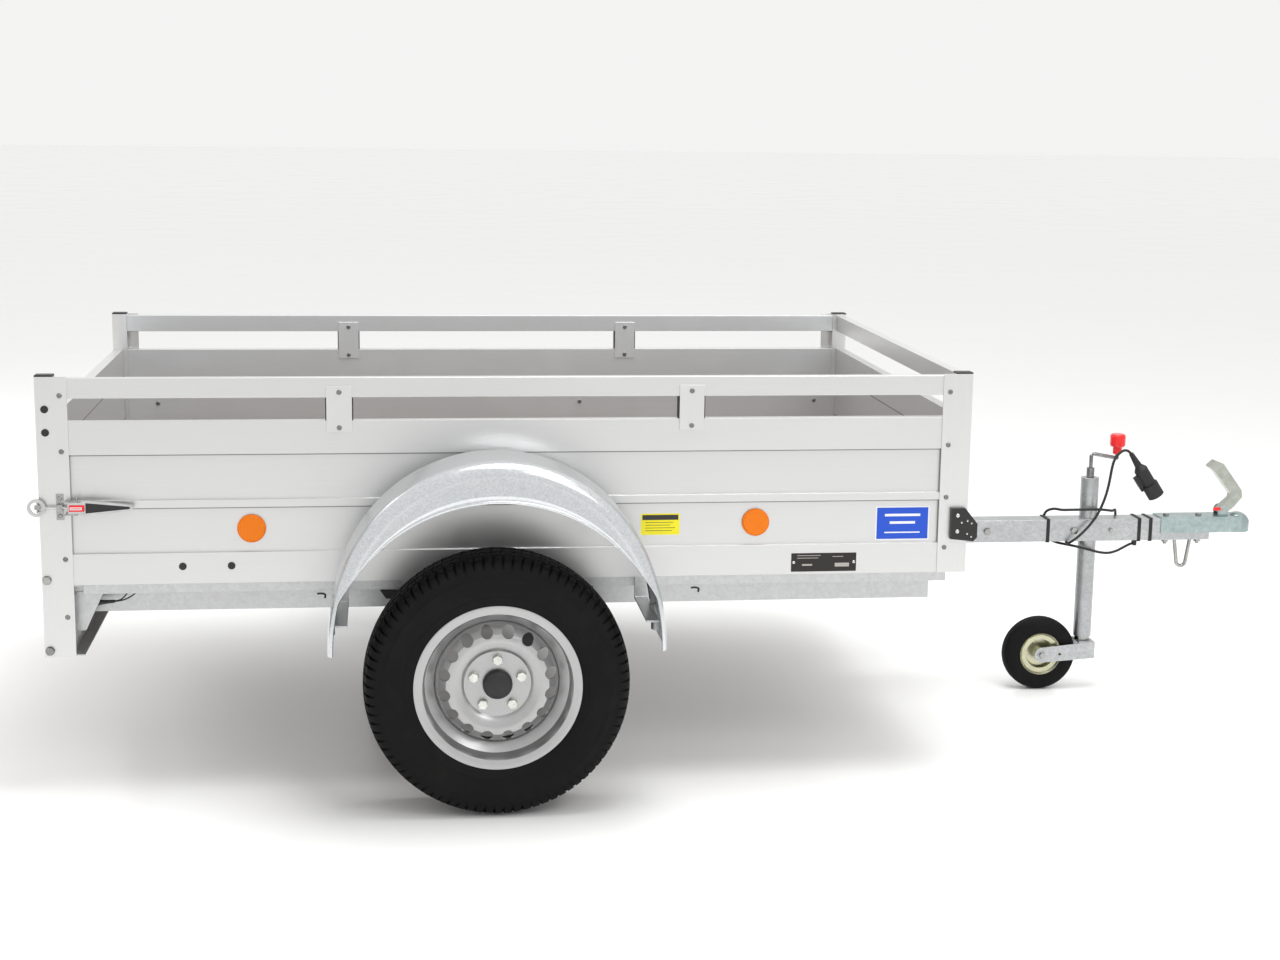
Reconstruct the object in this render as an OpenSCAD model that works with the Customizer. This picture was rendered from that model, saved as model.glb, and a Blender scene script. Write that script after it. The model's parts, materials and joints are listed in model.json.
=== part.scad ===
// Single-axle open box trailer with aluminium boards, a top rail, a straight drawbar,
// a jockey wheel and a ball coupling. +X points to the coupling, +Z up, millimetres.
// Inside the modules X counts from the rear face of the corner posts.

/* [Box] */
// Length over the corner posts
box_l = 2120; // [1800:10:2600]
// Width over the corner posts
box_w = 1360; // [1160:10:1600]
// Height of the boards
board_h = 370; // [320:5:480]
// Thickness of the boards
board_t = 25; // [20:1:32]
// Underside of the boards above the ground
board_z = 490; // [480:5:560]
// Wall of the hollow board extrusion
board_wall = 2.5; // [1.5:0.5:4]
// Depth of the two long recesses in each board
recess_d = 7; // [3:1:10]
// Height of a board's top band
top_band = 75; // [50:5:90]
// Height of the ridge between the recesses
ridge_h = 18; // [12:2:30]
// Height of a board's bottom band
bottom_band = 71; // [50:1:90]
// Thickness of the floor panel
floor_t = 12; // [9:1:18]

/* [Posts and rails] */
// Width of a post's tube along the trailer
post_w = 40; // [30:2:50]
// Depth of a post's tube across the trailer
post_d = 30; // [28:1:40]
// Width of the post's cover flange
flange_w = 29; // [20:1:40]
// Thickness of the cover flange and the rail plates
flange_t = 3; // [2:0.5:4]
// Foot of the rear posts above the ground
post_foot = 325; // [280:5:400]
// Height of the top rail's tube
rail_h = 45; // [30:5:60]
// Gap between the boards and the top rail
rail_gap = 52; // [30:2:80]
// Post head above the rail
post_head = 4; // [2:1:10]
// Thickness of a post cap
cap_t = 4; // [3:1:8]
// Length of a rail plate along the trailer
plate_w = 57; // [40:1:80]
// First and second rail plate, from the rear
plate_x = [662, 1461];

/* [Frame] */
// Height of the side beams under the boards
side_beam_h = 22; // [18:1:30]
// Width of a side beam
side_beam_w = 40; // [30:2:60]
// Height of the long beams
long_beam_h = 71; // [50:1:90]
// Width of a long beam
long_beam_w = 40; // [30:2:60]
// From a corner post's outer face to the centre of a long beam
long_beam_in = 120; // [90:5:250]
// Height of the cross members
cross_h = 14; // [10:1:20]
// Width of the cross members
cross_w = 50; // [40:2:80]
// Number of cross members
cross_n = 5; // [3:1:7]
// Height of the rear lamp beam
lamp_beam_h = 163; // [120:1:180]
// Lamp width
lamp_w = 230; // [160:10:260]
// Lamp height
lamp_h = 96; // [70:2:110]
// Lamp depth
lamp_d = 34; // [25:1:36]

/* [Wheels and axle] */
// Tyre radius
tyre_r = 297; // [270:1:320]
// Tyre width
tyre_w = 165; // [145:5:185]
// Wheel centre from the rear
wheel_x = 1006; // [900:2:1200]
// From the side of the box to a wheel's middle plane
wheel_out = 160; // [155:5:200]
// Bolt circle of the wheel
bolt_pcd = 112; // [98:1:120]
// Trailing arm, horizontal distance from pivot to wheel
arm_x = 150; // [130:5:180]
// Axle tube, outside
axle_a = 60; // [50:5:70]
// Wall of the axle tube
axle_wall = 5; // [4:0.5:8]
// Torsion shaft radius
shaft_r = 18; // [14:1:20]
// Stub axle radius
stub_r = 16; // [12:1:18]
// Radial clearance of every running fit
run_c = 0.05; // [0.02:0.01:0.08]
// Small gap between pieces that pass each other
gap = 0.3; // [0.2:0.1:0.6]

/* [Fenders] */
// From the tyre's radius to the outside of the fender's crown
fender_gap = 63; // [50:1:80]
// Height of the fender's centre above the wheel's
fender_rise = 149; // [130:1:170]
// Width of a fender
fender_w = 205; // [190:5:230]
// How far the crown runs below its centre, degrees
fender_drop = 10; // [0:1:15]
// Thickness of the sheet
fender_t = 2.5; // [1.5:0.5:4]

/* [Drawbar] */
// Side of the square drawbar tube
bar_a = 60; // [50:5:80]
// Wall of the drawbar tube
bar_wall = 4; // [3:0.5:6]
// Front end of the drawbar, from the box
bar_reach = 875; // [750:5:1000]
// Length of the ball coupling
coupling_l = 261; // [235:2:300]
// Radius of the towing ball socket
socket_r = 25.4; // [25.2:0.1:25.6]
// Wall of the coupling channel
channel_t = 3; // [2:0.5:5]

/* [Jockey wheel] */
// Jockey tube in front of the box
jockey_reach = 540; // [420:5:600]
// Outer tube radius
jockey_r = 24; // [20:1:30]
// Outer tube top above the ground
jockey_top = 587; // [560:1:640]
// Radius of the jockey wheel
jockey_wheel_r = 100; // [80:5:105]
// Width of the jockey wheel
jockey_wheel_w = 50; // [40:2:60]
// Room between the jockey wheel's rim and the swivel axis
jockey_room = 22; // [20:1:50]
// Room between the fork and the foot of the outer tube
jockey_lift = 11; // [5:1:60]
// Crank arm from the spindle to the knob
crank_arm = 72; // [60:1:90]

/* [Latches] */
// Height of the tailgate latches
latch_z = 670; // [640:5:700]
// Length of a latch lever in front of its pivot
lever_l = 135; // [100:5:160]

/* [Hidden] */
$fn = 48;

// Overlap that lets a cut run past its face
cut = 1;
half_w = box_w / 2;
board_top = board_z + board_h;
long_beam_y = half_w - long_beam_in;
wheel_y = half_w + wheel_out;
fender_r = tyre_r + fender_gap;
fender_z = tyre_r + fender_rise;
jockey_trail = jockey_wheel_r + jockey_room;
fork_top = jockey_wheel_r + 35;
jockey_foot = fork_top + jockey_lift;
rail_z = board_top + rail_gap;
rail_top = rail_z + rail_h;
post_top = rail_top + post_head;
board_y = half_w - flange_t;
post_in = half_w - post_d;
inner_y = min(post_in, board_y - board_t);
tail_in = 2;
tail_gap = 1;
hinge_x = 11;
hinge_z = board_z + 13;
hinge_r = 6;
recess_h = (board_h - top_band - ridge_h - bottom_band) / 2;
floor_x = tail_in + board_t + 7;
front_in = box_l - tail_in - board_t;
frame_z = board_z - side_beam_h;
cross_z = board_z - cross_h;
beam_z = cross_z - long_beam_h;
lamp_beam_x = 60;
lamp_beam_d = 28;
beam_x = lamp_beam_x + lamp_beam_d;
arm_z = beam_z - axle_a / 2;
axle_x = wheel_x + arm_x;
arm_y = half_w - 8;
arm_t = 22;
bar_z = cross_z - bar_a;
bar_end = box_l + bar_reach;
bar_start = axle_x + axle_a / 2 + 4;
jockey_x = box_l + jockey_reach;
ball_x = bar_end + 88;
ball_z = cross_z - 24;
nose_r = bar_a / 2 + channel_t + gap;
nose_end = ball_x + nose_r;
channel_x = nose_end - coupling_l;
latch_x = 72;
latch_y = half_w + 13;
eye_r = 20;
eye_x = -4;
rear_end = eye_x - eye_r;
mid_x = (nose_end + rear_end) / 2;
reflector_x = [463, 1616];
post_screw_x = 53;

module from_rear() {
    translate([-mid_x, 0, 0]) children();
}

module both_sides() {
    children();
    mirror([0, 1, 0]) children();
}

module left_side() {
    mirror([0, 1, 0]) children();
}

// Profile in (y, z) swept along +X
module along_x(len) {
    rotate([90, 0, 90]) linear_extrude(len) children();
}

// Profile in (x, z) swept along +Y
module along_y(len) {
    translate([0, len, 0]) rotate([90, 0, 0]) linear_extrude(len) children();
}

module rod_y(r, y0, y1) {
    translate([0, y0, 0]) rotate([-90, 0, 0]) cylinder(r = r, h = y1 - y0);
}

module rod(a, b, r) {
    d = b - a;
    translate(a) rotate([0, acos(d[2] / norm(d)), atan2(d[1], d[0])]) cylinder(r = r, h = norm(d));
}

module tube_2d(w, h, wall) {
    difference() {
        square([w, h]);
        translate([wall, wall]) square([w - 2 * wall, h - 2 * wall]);
    }
}

// Pan head with a socket, standing on a face at y = 0 and facing -Y
module screw_head(r = 6, h = 3.5) {
    difference() {
        rotate([90, 0, 0]) cylinder(r1 = r, r2 = r * 0.75, h = h);
        translate([0, -h + 1.5, 0]) rotate([90, 0, 0]) cylinder(r = r * 0.4, h = h, $fn = 6);
    }
}

// Hexagon head with its washer, standing on a face at y = 0 and facing -Y
module hex_head(across, h) {
    rotate([90, 0, 0]) {
        cylinder(r = across * 0.62, h = 1.5);
        translate([0, 0, 1.5]) cylinder(r = across / sqrt(3), h = h, $fn = 6);
    }
}

// Five hollow chambers, outer face at x = 0 and bottom at y = 0
module board_profile() {
    z1 = bottom_band;
    z2 = z1 + recess_h;
    z3 = z2 + ridge_h;
    z4 = z3 + recess_h;
    w = board_wall;
    difference() {
        polygon([
            [0, 0], [board_t, 0], [board_t, board_h], [0, board_h], [0, z4], [recess_d, z4],
            [recess_d, z3], [0, z3], [0, z2], [recess_d, z2], [recess_d, z1], [0, z1]
        ]);
        for (c = [[0, 0, z1], [recess_d, z1, z2], [0, z2, z3], [recess_d, z3, z4], [0, z4, board_h]])
            translate([c[0] + w, c[1] + w]) square([board_t - c[0] - 2 * w, c[2] - c[1] - 2 * w]);
    }
}

module floor_panel() from_rear() color("saddlebrown") {
    translate([floor_x, -inner_y + 0.5, board_z])
        cube([front_in - floor_x - 0.5, 2 * inner_y - 1, floor_t]);
}

module side_board() color("silver") {
    translate([post_w, -board_y, board_z]) along_x(box_l - 2 * post_w) board_profile();
}

module side_board_right() from_rear() side_board();

module side_board_left() from_rear() left_side() side_board();

module front_board() from_rear() color("silver") {
    translate([box_l - tail_in, -post_in, board_z])
        mirror([1, 0, 0]) along_y(2 * post_in) board_profile();
}

module tailgate() from_rear() color("silver") {
    translate([tail_in, -post_in + tail_gap, board_z])
        along_y(2 * (post_in - tail_gap)) board_profile();
}

// Hinge bolts in the bottom corners and keeper plates for the latch hooks
module tailgate_fittings() from_rear() color("gainsboro") both_sides() {
    translate([hinge_x, -half_w, hinge_z]) {
        rod_y(hinge_r, -gap, post_d + tail_gap / 2);
        translate([0, -gap, 0]) hex_head(17, 6);
        rod_y(11, post_d + gap, post_d + tail_gap);
    }
    translate([-4.5, -latch_y + 6.3, latch_z - 12]) cube([4, latch_y - 606.3, 24]);
    translate([-0.5, -post_in + 5, latch_z - 12]) cube([tail_in + 0.5, 44, 24]);
    translate([-9, -latch_y + 6.3, latch_z - 5]) cube([12, 4, 10]);
}

module post_profile() {
    tube_2d(post_w, post_d, 2.5);
    translate([post_w, 0]) square([flange_w, flange_t]);
}

module rear_posts() from_rear() color("silver") both_sides() difference() {
    translate([0, -half_w, post_foot]) linear_extrude(post_top - post_foot) post_profile();
    translate([hinge_x, -half_w, hinge_z]) rod_y(hinge_r + run_c, -cut, post_d + cut);
}

module front_posts() from_rear() color("silver") both_sides() {
    translate([box_l, -half_w, board_z])
        mirror([1, 0, 0]) linear_extrude(post_top - board_z) post_profile();
}

module post_caps() from_rear() color("black") both_sides() {
    for (x = [0, box_l - post_w])
        translate([x, -half_w, post_top]) {
            cube([post_w, post_d, cap_t - 1]);
            translate([1, 1, cap_t - 1]) cube([post_w - 2, post_d - 2, 1]);
            translate([3, 3, -8]) cube([post_w - 6, post_d - 6, 8]);
        }
}

// Two side rails between the posts and one front rail
module top_rails() from_rear() color("silver") {
    both_sides() translate([post_w, -board_y, rail_z])
        along_x(box_l - 2 * post_w) tube_2d(board_t, rail_h, 2);
    translate([front_in, -post_in, rail_z]) along_y(2 * post_in) tube_2d(board_t, rail_h, 2);
}

plate_low = 26;
plate_high = 26;

// Flat plates outside and inside that tie the rail to the board
module rail_brackets() from_rear() color("silver") both_sides() {
    for (x = plate_x, y = [-half_w, -board_y + board_t])
        translate([x - plate_w / 2, y, board_top - plate_low])
            cube([plate_w, flange_t, rail_gap + plate_low + plate_high]);
}

// Rail spacer blocks and blanking plugs of black plastic
module plastic_inserts() from_rear() color("black") both_sides() {
    for (x = plate_x)
        translate([x - 31, -board_y, board_top]) cube([62, board_t, rail_gap]);
    for (z = [post_top - 72, post_top - 124])
        translate([20, -half_w, z]) rod_y(8.5, -2, 0);
    for (x = [309, 417])
        translate([x, -board_y, board_z + 40]) rod_y(8.5, -2, 0);
}

// Heads of the rail, post, lamp beam and inner wall screws
module frame_screws() from_rear() color("gainsboro") both_sides() {
    for (x = plate_x, z = [rail_z + 12, board_top - 16]) {
        translate([x, -half_w, z]) screw_head();
        translate([x, -board_y + board_t + flange_t, z]) mirror([0, 1, 0]) screw_head();
    }
    for (x = [post_screw_x, box_l - post_screw_x])
        for (z = [rail_top - 38, board_top - 66, board_z + 60])
            translate([x, -half_w, z]) screw_head();
    translate([box_l - post_screw_x, -half_w, latch_z]) screw_head();
    translate([post_screw_x, -half_w, post_foot + 92]) screw_head();
    translate([12, -half_w, post_foot + 15]) hex_head(17, 6);
    for (x = [120, 620, 1330, 2030])
        translate([x, -board_y + board_t, board_z + 215]) mirror([0, 1, 0]) screw_head();
}

// Side beams under the boards and long beams that carry the axle
module chassis_beams() from_rear() color("lightgrey") both_sides() {
    translate([beam_x, -board_y + 5, frame_z]) along_x(box_l - 45 - beam_x)
        tube_2d(side_beam_w, side_beam_h, 3);
    translate([beam_x, -long_beam_y - long_beam_w / 2, beam_z]) along_x(box_l - 60 - beam_x)
        tube_2d(long_beam_w, long_beam_h, 3);
}

cross_y = board_y - 5 - side_beam_w;
cross_step = (box_l - 240 - cross_w) / (cross_n - 1);

module cross_members() from_rear() color("lightgrey") {
    for (i = [0 : cross_n - 1])
        translate([120 + i * cross_step, -cross_y, cross_z])
            along_y(2 * cross_y) tube_2d(cross_w, cross_h, 2.5);
}

// Folded lamp beam between the post feet, with a gusset at each end
module rear_beam() from_rear() color("lightgrey") {
    translate([lamp_beam_x, -board_y, board_z - lamp_beam_h]) along_y(2 * board_y) difference() {
        square([lamp_beam_d, lamp_beam_h]);
        translate([3, 3]) square([lamp_beam_d, lamp_beam_h - 6]);
    }
    both_sides() translate([lamp_beam_x + 3, -cross_y - 16, frame_z]) along_y(4)
        polygon([[0, 0], [67, 0], [25, -90], [0, -90]]);
}

lamp_y = half_w - 45 - lamp_w;
lamp_z = board_z - lamp_beam_h / 2;

// Lamp bodies and triangular reflectors on the rear face of the lamp beam
module tail_lamps() from_rear() color("firebrick") both_sides() {
    translate([lamp_beam_x - lamp_d, -lamp_y - lamp_w, lamp_z - lamp_h / 2])
        cube([lamp_d, lamp_w, lamp_h]);
    translate([lamp_beam_x, -lamp_y + 90, lamp_z - 10]) rotate([0, -90, 0])
        cylinder(r = 76, h = 8, $fn = 3);
}

module side_reflectors() from_rear() color("orange") both_sides() {
    for (x = reflector_x)
        translate([x, -board_y + recess_d, board_z + bottom_band + recess_h / 2 + 2]) {
            rod_y(32, -6, 0);
            rod_y(29, -8, -6);
        }
}

bracket_z = board_z + 76;

// Black accessory brackets around the front corners
module corner_brackets() from_rear() color("black") both_sides() {
    outline = [[-42, 6], [13, 0], [22, 9], [22, 42], [-8, 79], [-42, 79]];
    difference() {
        union() {
            translate([box_l, -half_w - 12, bracket_z]) along_y(12) polygon(outline);
            translate([box_l, -half_w - cut, bracket_z]) along_y(31 + cut)
                polygon([[gap, 3], [13, 0], [22, 9], [22, 42], [gap, 69]]);
        }
        for (p = [[-26, 62], [-26, 24]])
            translate([box_l + p[0], -half_w, bracket_z + p[1]]) rod_y(5, -12 - cut, -6);
        for (p = [[-16, 45], [-2, 49], [8, 43], [-2, 18], [8, 11]])
            translate([box_l + p[0], -half_w, bracket_z + p[1]]) rod_y(2.6, -12 - cut, -6);
    }
}

module drawbar() from_rear() color("lightgrey") difference() {
    translate([bar_start, -bar_a / 2, bar_z]) along_x(bar_end - bar_start)
        tube_2d(bar_a, bar_a, bar_wall);
    translate([jockey_x, 0, bar_z - cut]) cylinder(r = jockey_r + gap, h = bar_a + 2 * cut);
}

// Clamp bolts beside the jockey tube, flange bolts and the coupling's nuts
module drawbar_bolts() from_rear() color("gainsboro") {
    both_sides() for (x = [jockey_x - 48, jockey_x + 55, box_l + 250])
        translate([x, -bar_a / 2, bar_z + bar_a / 2]) hex_head(x < jockey_x ? 17 : 10, 6);
    for (x = [channel_x + 26, channel_x + 118]) {
        translate([x, 0, bar_z]) rotate([180, 0, 0]) {
            cylinder(r = 11, h = 2);
            translate([0, 0, 2]) cylinder(r = 10, h = 8, $fn = 6);
            translate([0, 0, 10]) cylinder(r = 5, h = 6);
        }
        translate([x, 0, cross_z + channel_t + gap]) cylinder(r = 9, h = 5, $fn = 6);
    }
}

strap_x = [box_l + 419, box_l + 675, box_l + 707];
strap_t = 2;
strap_w = 9;
clip_x = strap_x[1] - 5;

// Rubber straps round the drawbar and the clip that the connector cable leaves
module cable_straps() from_rear() color("black") {
    for (x = strap_x)
        translate([x - strap_w / 2, -bar_a / 2 - strap_t, bar_z - strap_t]) along_x(strap_w)
            tube_2d(bar_a + 2 * strap_t, bar_a + 2 * strap_t, strap_t);
    translate([clip_x - 9, -30, bar_z - 14]) cube([9, 16, 14]);
}

module axle_tube() from_rear() color("dimgrey") difference() {
    translate([axle_x - axle_a / 2, -arm_y + gap, arm_z - axle_a / 2])
        cube([axle_a, 2 * (arm_y - gap), axle_a]);
    translate([axle_x - axle_a / 2 + axle_wall, -arm_y + 150, arm_z - axle_a / 2 + axle_wall])
        cube([axle_a - 2 * axle_wall, 2 * (arm_y - 150), axle_a - 2 * axle_wall]);
    both_sides() translate([axle_x, 0, arm_z]) rod_y(shaft_r + run_c, -arm_y - cut, -arm_y + 121);
}

// Black plates that tie the axle tube to the long beams
module axle_brackets() from_rear() color("black") both_sides() {
    y0 = -long_beam_y - long_beam_w / 2 - 6;
    translate([0, y0, 0]) along_y(6) difference() {
        polygon([
            [wheel_x - 258, beam_z + 40], [wheel_x - 244, beam_z + 20], [axle_x - 45, beam_z - 8],
            [axle_x - 45, beam_z - 40], [axle_x + 45, beam_z - 40], [wheel_x + 241, beam_z + 20],
            [wheel_x + 241, beam_z + 59], [wheel_x - 100, beam_z + 59], [wheel_x - 200, beam_z + 40]
        ]);
        translate([axle_x - axle_a / 2, arm_z - axle_a / 2 - cut]) square([axle_a, axle_a + cut]);
    }
}

// Trailing arm with its torsion shaft inward and its stub axle outward
module swing_arm() color("dimgrey") {
    y1 = -arm_y - arm_t;
    hub_point = [wheel_x, tyre_r];
    pivot = [axle_x, arm_z];
    along = (pivot - hub_point) / norm(pivot - hub_point);
    side = 25 * [-along[1], along[0]];
    translate([0, y1, 0]) along_y(arm_t) union() {
        for (p = [hub_point, pivot])
            translate(p) circle(r = 32);
        polygon([hub_point + side, pivot + side, pivot - side, hub_point - side]);
    }
    translate([axle_x, 0, arm_z]) rod_y(shaft_r, y1 + 5, -arm_y + 118);
    translate([wheel_x, 0, tyre_r]) {
        rod_y(stub_r, -wheel_y - 20, y1 + 5);
        rod_y(14, -wheel_y - 38, -wheel_y - 20);
    }
}

module swing_arm_right() from_rear() swing_arm();

module swing_arm_left() from_rear() left_side() swing_arm();

// Revolved about the wheel's axis, profile in (radius, distance outward from the mid-plane)
module wheel_turn() {
    translate([wheel_x, -wheel_y, tyre_r]) rotate([90, 0, 0]) children();
}

disc_face = 27;
disc_t = 3.5;

module hub() color("dimgrey") wheel_turn() {
    inner = -(wheel_y - arm_y - arm_t) + gap;
    difference() {
        union() {
            translate([0, 0, inner]) cylinder(r = 34, h = 16 - inner);
            translate([0, 0, 14]) cylinder(r = 70, h = disc_face - 14);
            translate([0, 0, 14]) cylinder(r = 28.4, h = 26);
        }
        translate([0, 0, inner - cut]) cylinder(r = stub_r + run_c, h = 60 - inner);
        translate([0, 0, 20]) cylinder(r = 21, h = 40);
        for (i = [0 : 4])
            rotate(18 + i * 72) translate([bolt_pcd / 2, 0, 10]) cylinder(r = 6.05, h = 40);
    }
}

module hub_right() from_rear() hub();

module hub_left() from_rear() left_side() hub();

vent_n = 16;
vent_r = 13.5;
vent_ring = 121;

module rim() color("silver") wheel_turn() difference() {
    union() {
        rotate_extrude($fn = 96) polygon([
            [186, -66.5], [170, -63], [167, -57], [165, -38], [144, -24], [144, 10], [165, 24],
            [167, 57], [170, 63], [186, 66.5], [187, 69.5], [183, 70], [167, 66.5], [163.5, 59],
            [161.5, 26], [140.8, 12], [140.8, -26], [161.5, -40], [163.5, -59], [167, -66.5],
            [183, -70], [187, -69.5]
        ]);
        rotate_extrude($fn = 96) polygon([
            [141.5, 2], [136, 6], [128, 24], [113, 38], [101, 40.5], [84, 34],
            [76, disc_face], [28.6, disc_face], [28.6, disc_face + disc_t],
            [74.5, disc_face + disc_t], [82.5, 37.5], [100, 44.5], [114.5, 42], [131, 27],
            [139, 10], [141.5, 8]
        ]);
    }
    for (i = [0 : vent_n - 1])
        rotate((i + 0.5) * 360 / vent_n) translate([vent_ring, 0, 0]) cylinder(r = vent_r, h = 60);
    for (i = [0 : 4])
        rotate(18 + i * 72) translate([bolt_pcd / 2, 0, 10]) cylinder(r = 6.3, h = 40);
}

module rim_right() from_rear() rim();

module rim_left() from_rear() left_side() rim();

// Open carcass that sits between the rim flanges
module tyre() color("black") wheel_turn() {
    h = tyre_w / 2;
    r = tyre_r;
    outer = [
        [167.4, 44], [167.4, 56.2], [170.8, 62.2], [186.5, 65.8], [188, 70], [193, h - 10],
        [214, h - 3], [235, h], [256, h - 2.5], [r - 25, h - 9], [r - 13, h - 16], [r - 4, h - 27],
        [r, h - 42]
    ];
    inner = [[r - 12, h - 34], [r - 19, h - 22], [r - 34, h - 13], [235, h - 10], [212, h - 13],
        [192, h - 24], [180, h - 34], [174, 42]];
    rotate_extrude($fn = 96) polygon(concat(
        outer, [for (i = [len(outer) - 1 : -1 : 0]) [outer[i][0], -outer[i][1]]],
        [for (i = [len(inner) - 1 : -1 : 0]) [inner[i][0], -inner[i][1]]], inner
    ));
}

module tyre_right() from_rear() tyre();

module tyre_left() from_rear() left_side() tyre();

module wheel_bolts() color("gainsboro") wheel_turn() {
    for (i = [0 : 4])
        rotate(18 + i * 72) translate([bolt_pcd / 2, 0, 0]) {
            translate([0, 0, 14]) cylinder(r = 5.9, h = 17);
            translate([0, 0, disc_face + disc_t]) cylinder(r1 = 11.5, r2 = 10, h = 3);
            translate([0, 0, disc_face + disc_t + 3]) cylinder(r = 10.9, h = 11, $fn = 6);
        }
}

module wheel_bolts_right() from_rear() wheel_bolts();

module wheel_bolts_left() from_rear() left_side() wheel_bolts();

// Domed cap over the hub's nose
module centre_cap() color("black") wheel_turn() rotate_extrude() polygon([
    [28.7, disc_face + disc_t], [33, disc_face + disc_t], [33, 41], [30, 47], [22, 51], [0, 52],
    [0, 48.5], [21, 48], [27, 45], [28.7, 41]
]);

module centre_cap_right() from_rear() centre_cap();

module centre_cap_left() from_rear() left_side() centre_cap();

stay_y = wheel_y + 60;
stay_t = 5;
stay_z = frame_z - 30;
skirt_r = 380;
skirt_sink = 108;
shoulder_r = 30;

// Crown with rounded shoulders and two skirts that taper away to the tips
module fender() color("lightgrey") difference() {
    h = fender_w / 2;
    s = shoulder_r;
    arc = [for (a = [0 : 15 : 90]) [s * cos(a), s * sin(a)]];
    outer = [for (p = arc) [fender_r - s + p[0], h - s + p[1]]];
    inner = [for (p = arc) let (k = (s - fender_t) / s)
        [fender_r - s + p[0] * k, h - s + p[1] * k]];
    edge = [[fender_r - 92, h], [fender_r - 92, h - fender_t]];
    half = concat(outer, edge);
    translate([wheel_x, -wheel_y - 2, fender_z]) rotate([90, 0, 0]) rotate([0, 0, -fender_drop])
        rotate_extrude(angle = 180 + 2 * fender_drop, $fn = 96) polygon(concat(
            [for (i = [len(half) - 1 : -1 : 0]) [half[i][0], -half[i][1]]], half,
            [for (i = [len(inner) - 1 : -1 : 0]) inner[i]], [for (p = inner) [p[0], -p[1]]]
        ));
    for (e = [-1, 1])
        translate([wheel_x, -wheel_y - 2 + e * h, fender_z - skirt_sink])
            rod_y(skirt_r, -fender_t - 0.01, fender_t + 0.01, $fn = 96);
    for (x = [0, 2 * (fender_r - fender_t - 0.1) - 32.4])
        translate([wheel_x - fender_r + fender_t + 0.1 + x, -wheel_y - 2 + h - s - 1, stay_z - gap])
            cube([32.4, s + 2, stay_t + 2 * gap]);
}

module fender_right() from_rear() fender();

module fender_left() from_rear() left_side() fender();

// Flat stays from the side beams to the inside of the fender crowns
module fender_stays() from_rear() color("grey") both_sides() intersection() {
    translate([wheel_x - fender_r, -stay_y, stay_z])
        for (x = [0, 2 * fender_r - 32]) translate([x, 0, 0]) union() {
            cube([32, stay_y - board_y + 5, stay_t]);
            translate([0, stay_y - board_y, 0]) cube([32, 5, 30 + side_beam_h - gap]);
        }
    translate([wheel_x, 0, fender_z]) rod_y(fender_r - fender_t - gap, -box_w, 0, $fn = 96);
}

module jockey_outer_tube() from_rear() color("lightgrey") difference() {
    translate([jockey_x, 0, jockey_foot]) cylinder(r = jockey_r, h = jockey_top - jockey_foot);
    translate([jockey_x, 0, jockey_foot - cut])
        cylinder(r = jockey_r - 3 + run_c, h = jockey_top - jockey_foot - 7);
    translate([jockey_x, 0, jockey_foot]) cylinder(r = 6 + run_c, h = jockey_top);
}

nut_z = jockey_top - 67;

// Sliding tube with the spindle nut near its top
module jockey_inner_tube() from_rear() color("gainsboro") translate([jockey_x, 0, 0]) {
    difference() {
        translate([0, 0, fork_top + gap]) cylinder(r = jockey_r - 3, h = nut_z + 25 - fork_top - gap);
        translate([0, 0, fork_top + 20]) cylinder(r = jockey_r - 6, h = nut_z - fork_top - 20);
        translate([0, 0, nut_z - cut]) cylinder(r = 8 + run_c, h = 30);
        translate([0, 0, fork_top - cut]) cylinder(r = 10 + run_c, h = 16);
    }
}

crank_z = jockey_top + 64;

// Threaded spindle, collar and bent handle
module jockey_crank() from_rear() color("gainsboro") translate([jockey_x, 0, 0]) {
    translate([0, 0, nut_z - 200]) cylinder(r = 8, h = 255);
    translate([0, 0, nut_z + 50]) cylinder(r = 6, h = 24);
    translate([0, 0, jockey_top + gap]) cylinder(r = 10.5, h = 26);
    rod([0, 0, jockey_top + 20], [0, 0, crank_z - 6], 5);
    translate([0, 0, crank_z - 6]) sphere(r = 5);
    rod([0, 0, crank_z - 6], [7, 0, crank_z], 5);
    translate([7, 0, crank_z]) sphere(r = 5);
    rod([7, 0, crank_z], [crank_arm, 0, crank_z - 12], 5);
    translate([crank_arm, 0, crank_z - 12]) sphere(r = 5);
    rod([crank_arm, 0, crank_z - 12], [crank_arm, 0, crank_z + 40], 5);
}

// Round grip that turns on the crank's upright end
module jockey_knob() from_rear() color("red") translate([jockey_x + crank_arm, 0, crank_z]) difference() {
    rotate_extrude() polygon([
        [0, 0], [12, 0], [12, 18], [18, 20], [20.5, 24], [20.5, 49], [17, 54], [0, 54]
    ]);
    translate([0, 0, -3]) cylinder(r = 5 + run_c, h = 44);
}

axle_r = 6;
jockey_wx = jockey_x - jockey_trail;
fork_y = jockey_wheel_w / 2 + 7;
fork_t = 4;

module jockey_fork() from_rear() color("lightgrey") {
    difference() {
        both_sides() translate([0, -fork_y - fork_t, 0]) along_y(fork_t) difference() {
            union() {
                translate([jockey_wx, jockey_wheel_r]) circle(r = 21);
                polygon([
                    [jockey_wx, jockey_wheel_r - 21], [jockey_x + 26, fork_top - 46],
                    [jockey_x + 26, fork_top], [jockey_wx, jockey_wheel_r + 21]
                ]);
            }
            translate([jockey_wx + 50, jockey_wheel_r + 2]) circle(r = 4);
        }
        translate([jockey_wx, 0, jockey_wheel_r]) rod_y(axle_r + gap, -60, 60);
    }
    translate([jockey_x - 18, -fork_y, fork_top - 4]) cube([44, 2 * fork_y, 4]);
    translate([jockey_x, 0, fork_top - cut]) cylinder(r = 10, h = 14);
}

module jockey_axle() from_rear() color("gainsboro") translate([jockey_wx, 0, jockey_wheel_r]) {
    rod_y(axle_r, -fork_y - fork_t, fork_y + fork_t);
    both_sides() translate([0, -fork_y - fork_t, 0]) hex_head(15, 6);
}

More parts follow.
